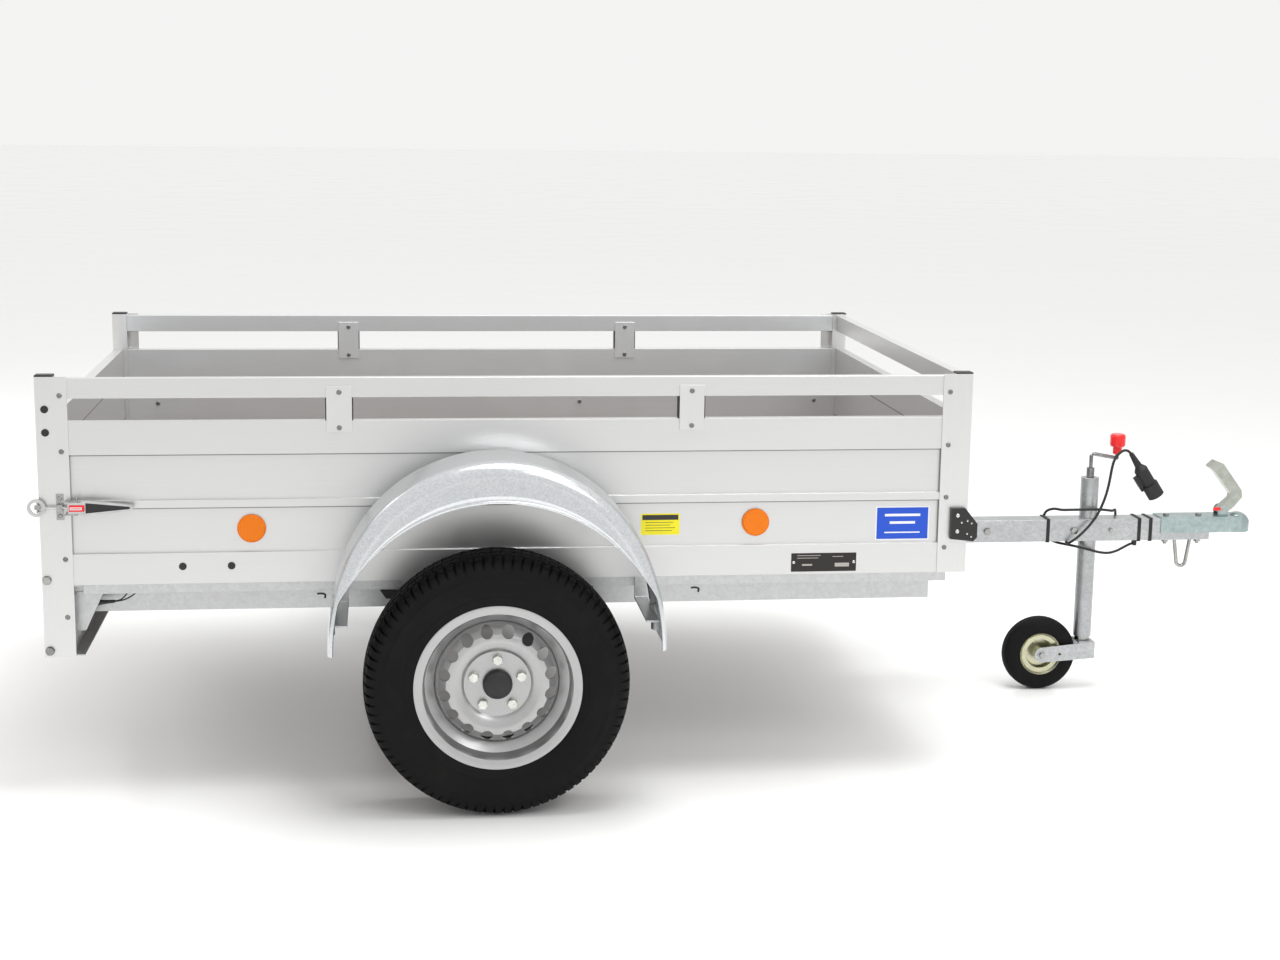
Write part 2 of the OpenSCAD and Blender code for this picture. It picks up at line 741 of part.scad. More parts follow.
module jockey_turn() {
    translate([jockey_wx, 0, jockey_wheel_r]) rotate([90, 0, 0]) children();
}

module jockey_rim() from_rear() color("khaki") jockey_turn() rotate_extrude($fn = 64) {
    h = jockey_wheel_w / 2;
    polygon([
        [axle_r + run_c, -h - 6], [14, -h - 6], [14, -3], [36, -3], [40, -h + 6], [52, -h + 6],
        [57, -h + 1], [57.5, -h + 1], [57.5, h - 1], [57, h - 1], [52, h - 6], [40, h - 6],
        [36, 3], [14, 3], [14, h + 6], [axle_r + run_c, h + 6]
    ]);
}

module jockey_tyre() from_rear() color("black") jockey_turn() rotate_extrude($fn = 96) {
    h = jockey_wheel_w / 2;
    r = jockey_wheel_r;
    polygon([
        [57.8, -h + 2], [62, -h], [r - 14, -h], [r - 5, -h + 4], [r - 1, -h + 11], [r, -h + 18],
        [r, h - 18], [r - 1, h - 11], [r - 5, h - 4], [r - 14, h], [62, h], [57.8, h - 2]
    ]);
}

skirt_z = 16;
top_in = bar_z + bar_a + gap;
side_h = 40;
jaw_x = ball_x - 44;
jaw_z = top_in - 15;
jaw_r = 4;
jaw_w = 22;
hand_x = ball_x - 47;
hand_z = top_in + 17;
hand_w = 27;
ear_t = 3.5;

// Pressed channel over the drawbar, with a ball socket in its nose
module coupling_body() from_rear() color("lightblue") difference() {
    union() {
        translate([channel_x, -nose_r, top_in]) cube([ball_x - channel_x, 2 * nose_r, channel_t]);
        both_sides() translate([channel_x, -nose_r, top_in - side_h])
            cube([ball_x - channel_x, channel_t, side_h + cut]);
        translate([ball_x, 0, ball_z - skirt_z]) cylinder(r = nose_r, h = skirt_z);
        intersection() {
            translate([ball_x, 0, ball_z]) sphere(r = nose_r + 2);
            translate([ball_x, 0, ball_z]) cylinder(r = nose_r, h = 60);
        }
        both_sides() translate([hand_x - 14, -hand_w / 2 - gap - ear_t, top_in + channel_t]) {
            cube([28, ear_t, hand_z - top_in - channel_t]);
            translate([14, 0, hand_z - top_in - channel_t]) rod_y(14, 0, ear_t);
        }
    }
    translate([ball_x, 0, ball_z]) sphere(r = socket_r);
    translate([ball_x, 0, ball_z - 20]) cylinder(r = socket_r, h = 20);
    translate([jaw_x - 12, -jaw_w / 2 - gap, ball_z - 20])
        cube([ball_x - jaw_x - 8, jaw_w + 2 * gap, top_in - ball_z + 20]);
    translate([hand_x, 0, hand_z]) rod_y(4 + run_c, -40, 40);
    translate([jaw_x, 0, jaw_z]) rod_y(jaw_r + run_c, -nose_r - cut, nose_r + cut);
}

// Cranked hand lever, raised
module coupling_lever() from_rear() color("lightgrey") translate([hand_x, 0, hand_z]) {
    translate([0, -hand_w / 2, 0]) along_y(hand_w) union() {
        circle(r = 12);
        polygon([
            [-9, 8], [20, 34], [22, 44], [-27, 106], [-45, 120], [-44, 124], [-28, 138],
            [-5, 129], [51, 55], [53, 36], [31, 9], [8, -9]
        ]);
    }
    rod_y(4, -hand_w / 2 - gap - ear_t - 2, hand_w / 2 + gap + ear_t + 2);
}

// Jaw that closes under the ball, seated in a slot behind the socket
module coupling_jaw() from_rear() color("gainsboro") {
    difference() {
        translate([jaw_x - 6, -jaw_w / 2, ball_z - 12]) cube([26, jaw_w, jaw_z - ball_z + 17]);
        translate([ball_x, 0, ball_z - 20]) cylinder(r = socket_r + 1.5, h = 60);
    }
    translate([jaw_x, 0, jaw_z]) rod_y(jaw_r, -nose_r, nose_r);
}

u_x = channel_x + 75;
u_r = 13;
u_wire = 5;
u_low = bar_z - 66;

// Bent wire loop under the coupling
module support_bar() from_rear() color("grey") {
    translate([u_x, 0, u_low]) rotate([90, 0, 0]) rotate([0, 0, 180])
        rotate_extrude(angle = 180) translate([u_r, 0]) circle(r = u_wire, $fn = 24);
    for (e = [-1, 1]) {
        translate([u_x + e * u_r, 0, u_low]) sphere(r = u_wire, $fn = 24);
        rod([u_x + e * u_r, 0, u_low], [u_x + e * 22, 0, bar_z - 4], u_wire, $fn = 24);
        translate([u_x + e * 22, 0, bar_z - 5]) cylinder(r = 9, h = 5);
    }
}

plug_tip = [614, -98, 668];
plug_tilt = 146.3;

// Thirteen-pole connector with its strain relief, hanging nose down
module connector_plug() from_rear() color("black") translate([box_l, 0, 0]) translate(plug_tip)
    rotate([0, plug_tilt, 0]) {
        cylinder(r1 = 6, r2 = 10, h = 42);
        translate([0, 0, 40]) cylinder(r1 = 10, r2 = 18, h = 12);
        translate([0, 0, 52]) cylinder(r = 18, h = 50);
        translate([0, 0, 100]) cylinder(r = 22, h = 38);
        translate([8, -8, 62]) cube([20, 16, 30]);
        translate([22, -5, 92]) cube([6, 10, 14]);
    }

cable_r = 3.5;
// Middle of the cable from the drawbar clip to the plug, x from the front of the box
cable_route = [
    [666, -22, 408], [650, -25, 404], [632, -28, 396], [612, -32, 388], [590, -36, 384],
    [566, -38, 386], [542, -38, 392], [518, -35, 398], [496, -25, 402], [477, -5, 403],
    [459, 18, 404], [443, 36, 411], [433, 43, 428], [428, 45, 450], [429, 42, 472],
    [435, 32, 489], [448, 12, 498], [463, -9, 499], [483, -24, 502], [507, -33, 504],
    [533, -37, 505], [560, -35, 504], [584, -25, 500], [604, -8, 495], [620, 14, 493],
    [630, 37, 483], [634, 45, 463], [631, 46, 440], [622, 44, 422], [606, 38, 410],
    [584, 35, 407], [558, 34, 407], [531, 33, 407], [508, 27, 408], [489, 10, 410],
    [478, -11, 410], [474, -32, 411], [480, -47, 419], [496, -52, 433], [516, -50, 451],
    [534, -48, 471], [549, -48, 494], [559, -52, 520], [564, -62, 548], [565, -75, 576],
    [564, -88, 603], [564, -97, 629], [568, -100, 650], [578, -101, 667], [591, -100, 676],
    [603, -99, 676], [614, -98, 668]
];

function unit(v) = v / norm(v);

function tangent(p, i) = unit(p[min(i + 1, len(p) - 1)] - p[max(i - 1, 0)]);

function ring_point(c, t, r, a) =
    let (s = unit(cross(t, abs(t[2]) < 0.9 ? [0, 0, 1] : [1, 0, 0])), u = cross(t, s))
    c + r * (cos(a) * s + sin(a) * u);

// Tube whose rings keep the phase of the ring before, so that it never twists
function frames(p, i = 0, s = [0, 1, 0]) =
    i >= len(p) ? [] :
    let (t = tangent(p, i), n = unit(s - (s * t) * t))
    concat([[n, cross(t, n)]], frames(p, i + 1, n));

module cord_tube(path, r, sides = 10) {
    f = frames(path);
    n = len(path);
    points = [for (i = [0 : n - 1], k = [0 : sides - 1])
        path[i] + r * (cos(k * 360 / sides) * f[i][0] + sin(k * 360 / sides) * f[i][1])];
    walls = [for (i = [0 : n - 2], k = [0 : sides - 1])
        let (a = i * sides + k, b = i * sides + (k + 1) % sides) [a, a + sides, b + sides, b]];
    caps = [[for (k = [0 : sides - 1]) k], [for (k = [sides - 1 : -1 : 0]) (n - 1) * sides + k]];
    polyhedron(points = points, faces = concat(walls, caps));
}

module connector_cable() from_rear() color("black") translate([box_l, 0, 0])
    cord_tube(cable_route, cable_r);

module latch_turn() {
    translate([0, -half_w, latch_z]) children();
}

lever_half = 13;
hook_r = 3;
hook_y = -10;
pin_r = 3;
ear_x = latch_x - 14;

// Base plate, hook guide and two ears with the lever's pin
module latch_bases() from_rear() color("gainsboro") both_sides() latch_turn() {
    difference() {
        union() {
            translate([38, -3, -29]) cube([16, 3, 58]);
            translate([40, -16, -7]) cube([13, 14, 14]);
            for (z = [-lever_half - gap - 3, lever_half + gap])
                translate([ear_x, -20, z]) cube([28, 20, 3]);
        }
        translate([38 - cut, hook_y, 0]) rotate([0, 90, 0]) cylinder(r = hook_r + run_c, h = 20);
        translate([latch_x, -13, -30]) cylinder(r = pin_r + run_c, h = 60);
    }
    for (z = [-20, 20])
        translate([46, -3, z]) screw_head(5, 2.5);
    translate([84, -13, lever_half + gap + 3]) cylinder(r = 2.5, h = 6);
}

// Tapered lever with its hinge pin
module latch_lever() color("gainsboro") latch_turn() {
    translate([0, -20, 0]) along_y(12) polygon([
        [latch_x - 6, -lever_half], [latch_x + 20, -lever_half], [latch_x + 25, -17],
        [latch_x + 40, -17], [latch_x + lever_l - 3, -6], [latch_x + lever_l, 0],
        [latch_x + lever_l - 3, 6], [latch_x + 40, 17], [latch_x + 25, 17],
        [latch_x + 20, lever_half], [latch_x - 6, lever_half]
    ]);
    translate([latch_x, -13, -lever_half - gap - 4]) cylinder(r = pin_r, h = 2 * (lever_half + gap + 4));
}

module latch_lever_right() from_rear() latch_lever();

module latch_lever_left() from_rear() left_side() latch_lever();

// Hook rod with a round eye that lies over the keeper
module latch_hook() color("gainsboro") latch_turn() {
    difference() {
        union() {
            translate([eye_x, 0, 0]) rod_y(eye_r, hook_y - 3, hook_y + 3);
            translate([eye_x + eye_r - 5, hook_y, 0]) rotate([0, 90, 0])
                cylinder(r = hook_r, h = latch_x - 12 - eye_x - eye_r + 5);
        }
        translate([eye_x, 0, 0]) rod_y(13, hook_y - 3 - cut, hook_y + 3 + cut);
    }
}

module latch_hook_right() from_rear() latch_hook();

module latch_hook_left() from_rear() left_side() latch_hook();

catch_t = 3.7;

// Sprung safety catch on the lever's outer face, round at its hinge
module latch_catch() color("red") latch_turn() {
    translate([latch_x - 4, -20 - gap - catch_t, -7]) cube([31.5, catch_t, 14]);
    translate([latch_x + 27.5, -20 - gap - catch_t / 2, -7]) cylinder(r = catch_t / 2, h = 14);
}

module latch_catch_right() from_rear() latch_catch();

module latch_catch_left() from_rear() left_side() latch_catch();

floor_panel();
side_board_right();
side_board_left();
front_board();
tailgate();
tailgate_fittings();
rear_posts();
front_posts();
post_caps();
top_rails();
rail_brackets();
plastic_inserts();
frame_screws();
chassis_beams();
cross_members();
rear_beam();
tail_lamps();
side_reflectors();
corner_brackets();
drawbar();
drawbar_bolts();
cable_straps();
axle_tube();
axle_brackets();
swing_arm_right();
swing_arm_left();
hub_right();
hub_left();
rim_right();
rim_left();
tyre_right();
tyre_left();
wheel_bolts_right();
wheel_bolts_left();
centre_cap_right();
centre_cap_left();
fender_right();
fender_left();
fender_stays();
jockey_outer_tube();
jockey_inner_tube();
jockey_crank();
jockey_knob();
jockey_fork();
jockey_axle();
jockey_rim();
jockey_tyre();
coupling_body();
coupling_lever();
coupling_jaw();
support_bar();
connector_plug();
connector_cable();
latch_bases();
latch_lever_right();
latch_lever_left();
latch_hook_right();
latch_hook_left();
latch_catch_right();
latch_catch_left();
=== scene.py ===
# %% [markdown]
# # An open box trailer
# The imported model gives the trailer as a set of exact, plain parts, each in its place.
# This notebook gives every part its finish, and makes the surfaces that a plain part can
# only hint at: a tyre with a real tread, a pressed fender, lamp lenses, a cable.
# Every length below is in metres unless its name says millimetres.

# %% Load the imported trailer
import json
import math

import bmesh
import bpy
import numpy as np
from mathutils import Matrix, Vector

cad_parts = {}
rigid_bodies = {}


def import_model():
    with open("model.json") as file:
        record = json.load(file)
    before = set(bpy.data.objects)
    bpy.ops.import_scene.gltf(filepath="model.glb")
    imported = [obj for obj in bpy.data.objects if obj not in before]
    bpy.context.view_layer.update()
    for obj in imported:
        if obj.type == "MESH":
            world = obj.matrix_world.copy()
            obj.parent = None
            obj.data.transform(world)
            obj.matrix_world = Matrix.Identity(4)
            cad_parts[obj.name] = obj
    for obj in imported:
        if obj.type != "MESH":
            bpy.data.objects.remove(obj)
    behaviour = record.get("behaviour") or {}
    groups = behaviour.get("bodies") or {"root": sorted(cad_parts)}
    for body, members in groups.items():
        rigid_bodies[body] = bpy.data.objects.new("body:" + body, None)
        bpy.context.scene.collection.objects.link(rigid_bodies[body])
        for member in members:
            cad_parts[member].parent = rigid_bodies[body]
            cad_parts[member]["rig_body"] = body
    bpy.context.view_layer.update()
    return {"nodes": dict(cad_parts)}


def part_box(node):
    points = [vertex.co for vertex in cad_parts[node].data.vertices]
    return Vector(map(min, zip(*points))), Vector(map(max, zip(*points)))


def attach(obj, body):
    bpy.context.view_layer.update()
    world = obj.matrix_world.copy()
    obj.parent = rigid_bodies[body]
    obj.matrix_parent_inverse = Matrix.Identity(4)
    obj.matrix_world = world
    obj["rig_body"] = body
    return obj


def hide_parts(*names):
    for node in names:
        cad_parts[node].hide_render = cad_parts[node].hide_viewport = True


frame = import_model()
nodes = frame["nodes"]
MM = 0.001

# %% [markdown]
# ## Places taken from the parts
# The wheel's axis, the board face and the ends of the box are read from the boxes of the
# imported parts. Small trim is placed in millimetres from the rear face of the posts.

# %% Read the places
def middle(node):
    """The centre of a part's box."""
    low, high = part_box(node)
    return (low + high) / 2


wheel_low, wheel_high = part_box("tyre_right")
wheel_centre = {"right": middle("tyre_right"), "left": middle("tyre_left")}
wheel_radius = (wheel_high.z - wheel_low.z) / 2
board_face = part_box("side_board_right")[0].y
front_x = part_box("front_posts")[1].x
rear_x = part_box("rear_posts")[0].x
bar_low, bar_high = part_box("drawbar")
print("wheel radius", round(wheel_radius, 4), "board face", round(board_face, 4),
      "drawbar from", round(bar_low.x, 4), "to", round(bar_high.x, 4))


def from_rear(x_mm, y_mm, z_mm):
    """A point given in millimetres from the rear face of the posts, in the shared frame."""
    return Vector((rear_x + x_mm * MM, y_mm * MM, z_mm * MM))


# %% [markdown]
# ## The camera
# It stands a little behind the middle of the right side, five metres away, and looks
# slightly down and forward. A long lens keeps the boards nearly parallel.

# %% Place the camera
CAMERA_POINT = from_rear(764.1, -5245.8, 1573.4)
YAW, PITCH, ROLL = map(math.radians, (7.228, 10.526, -0.775))
LENS = 2039.4 / 1280 * 36


def camera_axes(yaw, pitch, roll):
    """Right, down and forward directions of a camera turned by yaw, dipped by pitch, then rolled."""
    ahead = Vector((math.sin(yaw) * math.cos(pitch), math.cos(yaw) * math.cos(pitch), -math.sin(pitch)))
    right = Vector((math.cos(yaw), -math.sin(yaw), 0))
    down = ahead.cross(right)
    turned_right = math.cos(roll) * right + math.sin(roll) * down
    turned_down = -math.sin(roll) * right + math.cos(roll) * down
    return turned_right, turned_down, ahead


right, down, ahead = camera_axes(YAW, PITCH, ROLL)
camera = bpy.data.objects.new("camera", bpy.data.cameras.new("camera"))
turn = Matrix((right, -down, -ahead)).transposed().to_4x4()
camera.matrix_world = Matrix.Translation(CAMERA_POINT) @ turn
camera.data.lens = LENS
camera.data.sensor_width = 36
camera.data.clip_end = 200
bpy.context.scene.collection.objects.link(camera)
bpy.context.scene.camera = camera
print("camera", round(LENS, 2), "mm lens at", tuple(round(c, 3) for c in CAMERA_POINT))

# %% [markdown]
# ## Arithmetic on shader sockets
# A finish is a calculation on a point of the surface. `Field` wraps a node socket, so
# that a plain Python expression such as `0.4 + 0.1 * cloud` adds the Math nodes.

# %% A socket that can be calculated with
def feed(tree, socket, value):
    """Links a Field into a socket, or sets the socket to a plain value."""
    if isinstance(value, Field):
        tree.links.new(value.socket, socket)
    else:
        socket.default_value = value


class Field:
    """A value that changes over a surface."""

    def __init__(self, tree, socket):
        self.tree, self.socket = tree, socket

    def math(self, operation, *others):
        node = self.tree.nodes.new("ShaderNodeMath")
        node.operation = operation
        for socket, value in zip(node.inputs, others):
            feed(self.tree, socket, value)
        return Field(self.tree, node.outputs[0])

    def __add__(self, other):
        return self.math("ADD", self, other)

    def __sub__(self, other):
        return self.math("SUBTRACT", self, other)

    def __rsub__(self, other):
        return self.math("SUBTRACT", other, self)

    def __mul__(self, other):
        return self.math("MULTIPLY", self, other)

    def __truediv__(self, other):
        return self.math("DIVIDE", self, other)

    def __gt__(self, other):
        return self.math("GREATER_THAN", self, other)

    def __lt__(self, other):
        return self.math("LESS_THAN", self, other)

    __radd__ = __add__
    __rmul__ = __mul__

    def sine(self):
        return self.math("SINE", self)

    def absolute(self):
        return self.math("ABSOLUTE", self)

    def between(self, low, high):
        """1 where the value lies between two numbers, and 0 elsewhere."""
        return (self > low) * (self < high)


# %% A finish, built from nodes
class Finish:
    """One material: its constants are set on the shader, and its fields are built on top."""

    def __init__(self, name, metallic=0.0, roughness=0.5, colour=(0.5, 0.5, 0.5), **constants):
        self.material = bpy.data.materials.new(name)
        self.material.use_nodes = True
        self.tree = self.material.node_tree
        self.shader = self.tree.nodes["Principled BSDF"]
        self.shader.inputs["Metallic"].default_value = metallic
        self.shader.inputs["Roughness"].default_value = roughness
        self.shader.inputs["Base Color"].default_value = (*colour, 1)
        for key, value in constants.items():
            self.shader.inputs[key.replace("_", " ").title().replace("Ior", "IOR")].default_value = value
        self.material.diffuse_color = (*colour, 1)

    def node(self, kind, settings=None, values=None, output=0):
        """Any other node: its settings come first, then the values or links of its sockets."""
        node = self.tree.nodes.new(kind)
        for key, value in (settings or {}).items():
            setattr(node, key, value)
        for key, value in (values or {}).items():
            feed(self.tree, node.inputs[key], value)
        return Field(self.tree, node.outputs[output])

    def place(self, stretch=(1, 1, 1), source="Object"):
        """Object coordinates, stretched along each axis."""
        point = self.node("ShaderNodeTexCoord", output=source)
        return self.node("ShaderNodeVectorMath", {"operation": "MULTIPLY"}, {0: point, 1: stretch})

    def part(self, axis, source="Object"):
        """One coordinate of the surface point."""
        point = self.node("ShaderNodeTexCoord", output=source)
        return self.node("ShaderNodeSeparateXYZ", None, {0: point}, output="XYZ".index(axis))

    def noise(self, scale, stretch=(1, 1, 1), detail=3.0, rough=0.5, source="Object"):
        return self.node("ShaderNodeTexNoise", None, {
            "Vector": self.place(stretch, source), "Scale": scale, "Detail": detail,
            "Roughness": rough})

    def cells(self, scale, stretch=(1, 1, 1), feature="F1", output="Distance"):
        return self.node("ShaderNodeTexVoronoi", {"feature": feature}, {
            "Vector": self.place(stretch), "Scale": scale}, output=output)

    def cell_value(self, scale, stretch=(1, 1, 1)):
        """A random number that is the same all over one cell."""
        colour = self.cells(scale, stretch, output="Color")
        return self.node("ShaderNodeSeparateColor", None, {0: colour})

    def ramp(self, value, low, high):
        """0 below low, 1 above high, and straight between them."""
        return self.node("ShaderNodeMapRange", {"clamp": True}, {
            "Value": value, "From Min": low, "From Max": high})

    def blend(self, factor, first, second):
        """Colour first where the factor is 0, and second where it is 1."""
        node = self.tree.nodes.new("ShaderNodeMix")
        node.data_type = "RGBA"
        feed(self.tree, node.inputs[0], factor)
        for index, colour in ((6, first), (7, second)):
            feed(self.tree, node.inputs[index], colour if isinstance(colour, Field) else (*colour, 1))
        return Field(self.tree, node.outputs[2])

    def drive(self, socket, field):
        feed(self.tree, self.shader.inputs[socket], field)
        return self

    def bump(self, height, strength=0.3, distance=0.0005):
        """Raises the surface by a height field, through the shading only."""
        node = self.tree.nodes.new("ShaderNodeBump")
        node.inputs["Strength"].default_value = strength
        node.inputs["Distance"].default_value = distance
        feed(self.tree, node.inputs["Height"], height)
        self.tree.links.new(node.outputs[0], self.shader.inputs["Normal"])
        return self


def grey(value, tint=(1.0, 1.0, 1.0)):
    """A grey with a slight tint."""
    return tuple(value * t for t in tint)


# %% [markdown]
# ## Extruded aluminium
# The boards, posts and rails are pressed through a die, which leaves fine lines along
# their length. The lines are a noise squeezed across the bar and drawn out along it.

# %% Aluminium finishes
INNER_HALF = 0.6525  # half the width between the inner faces of the side boards
INNER_END = 0.0305  # from the end of the box to the inner face of a cross board
BOARD_STEPS_MM = (664.0, 785.0)  # heights where the board's profile steps in
SHADE_LINE_BELOW, SHADE_LINE_ABOVE, SHADE_LINE_STRENGTH = 3.0, 0.4, 0.75  # reach in mm, and strength, of a painted shade line under a step of the board


def board_shade_lines(finish):
    """1 in the thin lines of painted shade under the top band and beside the ridge of a board,
    where the profile steps in, and 0 elsewhere."""
    height = finish.part("Z")
    shade_lines = None
    for z_mm in BOARD_STEPS_MM:
        line = height.between((z_mm - SHADE_LINE_BELOW) * MM, (z_mm + SHADE_LINE_ABOVE) * MM)
        shade_lines = line if shade_lines is None else shade_lines + line
    return shade_lines


def extruded_aluminium(name, along, tone=0.68):
    """Satin aluminium with die lines along one axis and a faint cloudiness from handling.
    Faces that look into the box are bare metal, a little cooler and rougher."""
    finish = Finish(name, metallic=0.8, roughness=0.36, colour=grey(tone))
    thin = [700, 700, 700]
    thin["XYZ".index(along)] = 5
    broad = [2.2, 2.2, 2.2]
    broad["XYZ".index(along)] = 0.5
    lines = finish.noise(1.0, thin, detail=2)
    cloud = finish.noise(1.6, broad, detail=4, rough=0.6)
    smudge = finish.ramp(finish.noise(7.0, detail=5, rough=0.65), 0.52, 0.75)
    tone_field = 0.55 * lines + 0.45 * cloud
    outer = finish.blend(tone_field, grey(tone * 0.92), grey(tone * 1.06, (1, 1, 0.985)))
    cool = (0.975, 1, 1.02)
    bare = finish.blend(tone_field, grey(tone * 0.96, cool), grey(tone * 1.10, cool))
    # Painted shade: thin dark lines under each step of a board's profile, on the outer faces.
    if along != "Z":
        outer = finish.blend(SHADE_LINE_STRENGTH * board_shade_lines(finish), outer, grey(0.10))
    inside = (finish.part("Y").absolute() < INNER_HALF) * finish.part("X").between(
        rear_x + INNER_END, front_x - INNER_END)
    finish.drive("Base Color", finish.blend(inside, outer, bare))
    finish.drive("Roughness", 0.26 + 0.10 * cloud + 0.06 * lines + 0.07 * smudge + 0.08 * inside)
    finish.bump(lines, strength=0.25, distance=0.00006)
    return finish.material


aluminium_x = extruded_aluminium("aluminium_along_x", "X")
aluminium_y = extruded_aluminium("aluminium_along_y", "Y")
aluminium_z = extruded_aluminium("aluminium_along_z", "Z", 0.70)
print("aluminium finishes: boards, cross boards, posts")

# %% [markdown]
# ## Zinc
# Hot-dip zinc freezes in patches, called spangle, that reflect a little differently.
# A cell texture gives each patch its own brightness and gloss. Plated screws are finer.

# %% Zinc finishes
def galvanised(name, patch=110.0, low=0.50, high=0.72, roughness=0.36,
               tint=(0.97, 1.0, 1.03), drips=0.4):
    """Hot-dip zinc: patches about 1/patch of a metre across, with cloudy drips over them."""
    finish = Finish(name, metallic=0.9, roughness=roughness, colour=grey((low + high) / 2))
    patches = finish.cell_value(patch)
    fine = finish.cell_value(patch * 3.1)
    cloud = finish.noise(14.0, detail=6, rough=0.65)
    tone = (0.7 - drips) * patches + 0.3 * fine + drips * cloud
    finish.drive("Base Color", finish.blend(tone, grey(low, tint), grey(high, (0.99, 1, 1.01))))
    finish.drive("Roughness", roughness - 0.08 + 0.16 * cloud + 0.06 * patches)
    finish.bump(cloud + 0.3 * fine, strength=0.25, distance=0.0003)
    return finish.material


def plated(name, colour, roughness=0.28, shift=None):
    """Electroplated zinc or chrome, with faint clouds and, for yellow zinc, a second tint."""
    finish = Finish(name, metallic=1.0, roughness=roughness, colour=colour)
    cloud = finish.noise(60.0, detail=4, rough=0.6)
    second = shift or tuple(c * 0.8 for c in colour)
    finish.drive("Base Color", finish.blend(finish.ramp(cloud, 0.3, 0.7), colour, second))
    finish.drive("Roughness", roughness - 0.05 + 0.14 * cloud)
    finish.bump(finish.noise(900.0), strength=0.12, distance=0.0001)
    return finish.material


zinc_frame = galvanised("zinc_frame", low=0.48, high=0.62, tint=(0.99, 1.0, 1.0), drips=0.25)
zinc_bar = galvanised("zinc_bar", patch=60.0, low=0.33, high=0.62, roughness=0.32, drips=0.55)
zinc_tube = galvanised("zinc_tube", patch=90.0, low=0.30, high=0.58, roughness=0.34, drips=0.5)
zinc_sheet = galvanised("zinc_sheet", patch=300.0, low=0.58, high=0.78, roughness=0.17,
                        tint=(0.95, 1.0, 1.04), drips=0.35)
zinc_axle = galvanised("zinc_axle", patch=90.0, low=0.20, high=0.34, roughness=0.5)
zinc_bolt = plated("zinc_bolt", (0.46, 0.46, 0.45), 0.22, (0.30, 0.30, 0.29))
zinc_yellow = plated("zinc_yellow", (0.60, 0.57, 0.40), 0.26, (0.46, 0.47, 0.34))
zinc_clear = plated("zinc_clear", (0.44, 0.52, 0.51), 0.28, (0.30, 0.38, 0.38))
zinc_lever = plated("zinc_lever", (0.50, 0.51, 0.46), 0.3, (0.36, 0.38, 0.34))
zinc_pale = plated("zinc_pale", (0.74, 0.74, 0.70), 0.24, (0.54, 0.54, 0.50))
zinc_dark = plated("zinc_dark", (0.30, 0.30, 0.30), 0.26, (0.20, 0.20, 0.20))
chrome = plated("chrome", (0.62, 0.62, 0.62), 0.10)
print("zinc finishes: five dipped, six plated, and chrome")

# %% [markdown]
# ## Paint, plastic, rubber, wood
# Moulded plastic has a fine grain, rubber is never quite clean, and silver wheel paint
# holds small flakes under a thin clear coat.

# %% Paint, plastic, rubber, wood
def moulded(name, colour, roughness=0.45, grain=1600.0, coat=0.0):
    """Moulded plastic with a fine grain."""
    finish = Finish(name, roughness=roughness, colour=colour, coat_weight=coat)
    grain_field = finish.noise(grain, detail=2)
    wear = finish.noise(25.0, detail=4, rough=0.6)
    worn, fresh = tuple(c * 0.8 for c in colour), tuple(c * 1.25 for c in colour)
    finish.drive("Base Color", finish.blend(wear, worn, fresh))
    finish.drive("Roughness", roughness - 0.06 + 0.14 * wear)
    finish.bump(grain_field, strength=0.2, distance=0.0002)
    return finish.material


def tyre_rubber(name):
    """Black rubber, a little greyer where dust has stayed."""
    finish = Finish(name, roughness=0.7, colour=grey(0.006), specular_ior_level=0.18)
    dust = finish.noise(14.0, detail=6, rough=0.7)
    pores = finish.noise(1100.0, detail=2)
    dusty = grey(0.009, (1, 0.98, 0.95))
    finish.drive("Base Color", finish.blend(finish.ramp(dust, 0.45, 0.8), grey(0.003), dusty))
    finish.drive("Roughness", 0.55 + 0.3 * dust)
    finish.bump(pores + 0.5 * dust, strength=0.3, distance=0.0003)
    return finish.material


BARREL_SHADE_STEP = 0.001  # how far the painted shade on the barrel reaches past the wheel's middle plane


def wheel_paint(name):
    """Silver paint with small flakes under a clear coat. The barrel behind the disc gets
    painted shade, nearly black."""
    finish = Finish(name, metallic=0.88, roughness=0.3, colour=grey(0.45),
                    coat_weight=0.25, coat_roughness=0.12)
    flakes = finish.cell_value(2600.0)
    dust = finish.noise(18.0, detail=5, rough=0.65)
    paint = finish.blend(0.5 * flakes + 0.5 * dust, grey(0.36), grey(0.54))
    # Painted shade: the rim inward of the wheel's middle plane is darkened nearly to black.
    behind = finish.part("Y").absolute() < wheel_centre["left"].y + BARREL_SHADE_STEP
    finish.drive("Base Color", finish.blend(0.92 * behind, paint, grey(0.02)))
    finish.drive("Roughness", 0.26 + 0.16 * dust + 0.05 * flakes)
    return finish.material


def film_faced_board(name):
    """Brown plywood under a resin film with a pressed wire-mesh pattern."""
    finish = Finish(name, roughness=0.45, colour=(0.10, 0.055, 0.03))
    step = 2 * math.pi / 0.006
    mesh_lines = (finish.part("X") * step).sine() * (finish.part("Y") * step).sine()
    wood = finish.noise(1.0, (3, 40, 40), detail=5)
    finish.drive("Base Color", finish.blend(wood, (0.07, 0.038, 0.02), (0.14, 0.08, 0.045)))
    finish.drive("Roughness", 0.38 + 0.2 * finish.noise(6.0, detail=5, rough=0.7))
    finish.bump(mesh_lines, strength=0.5, distance=0.0004)
    return finish.material


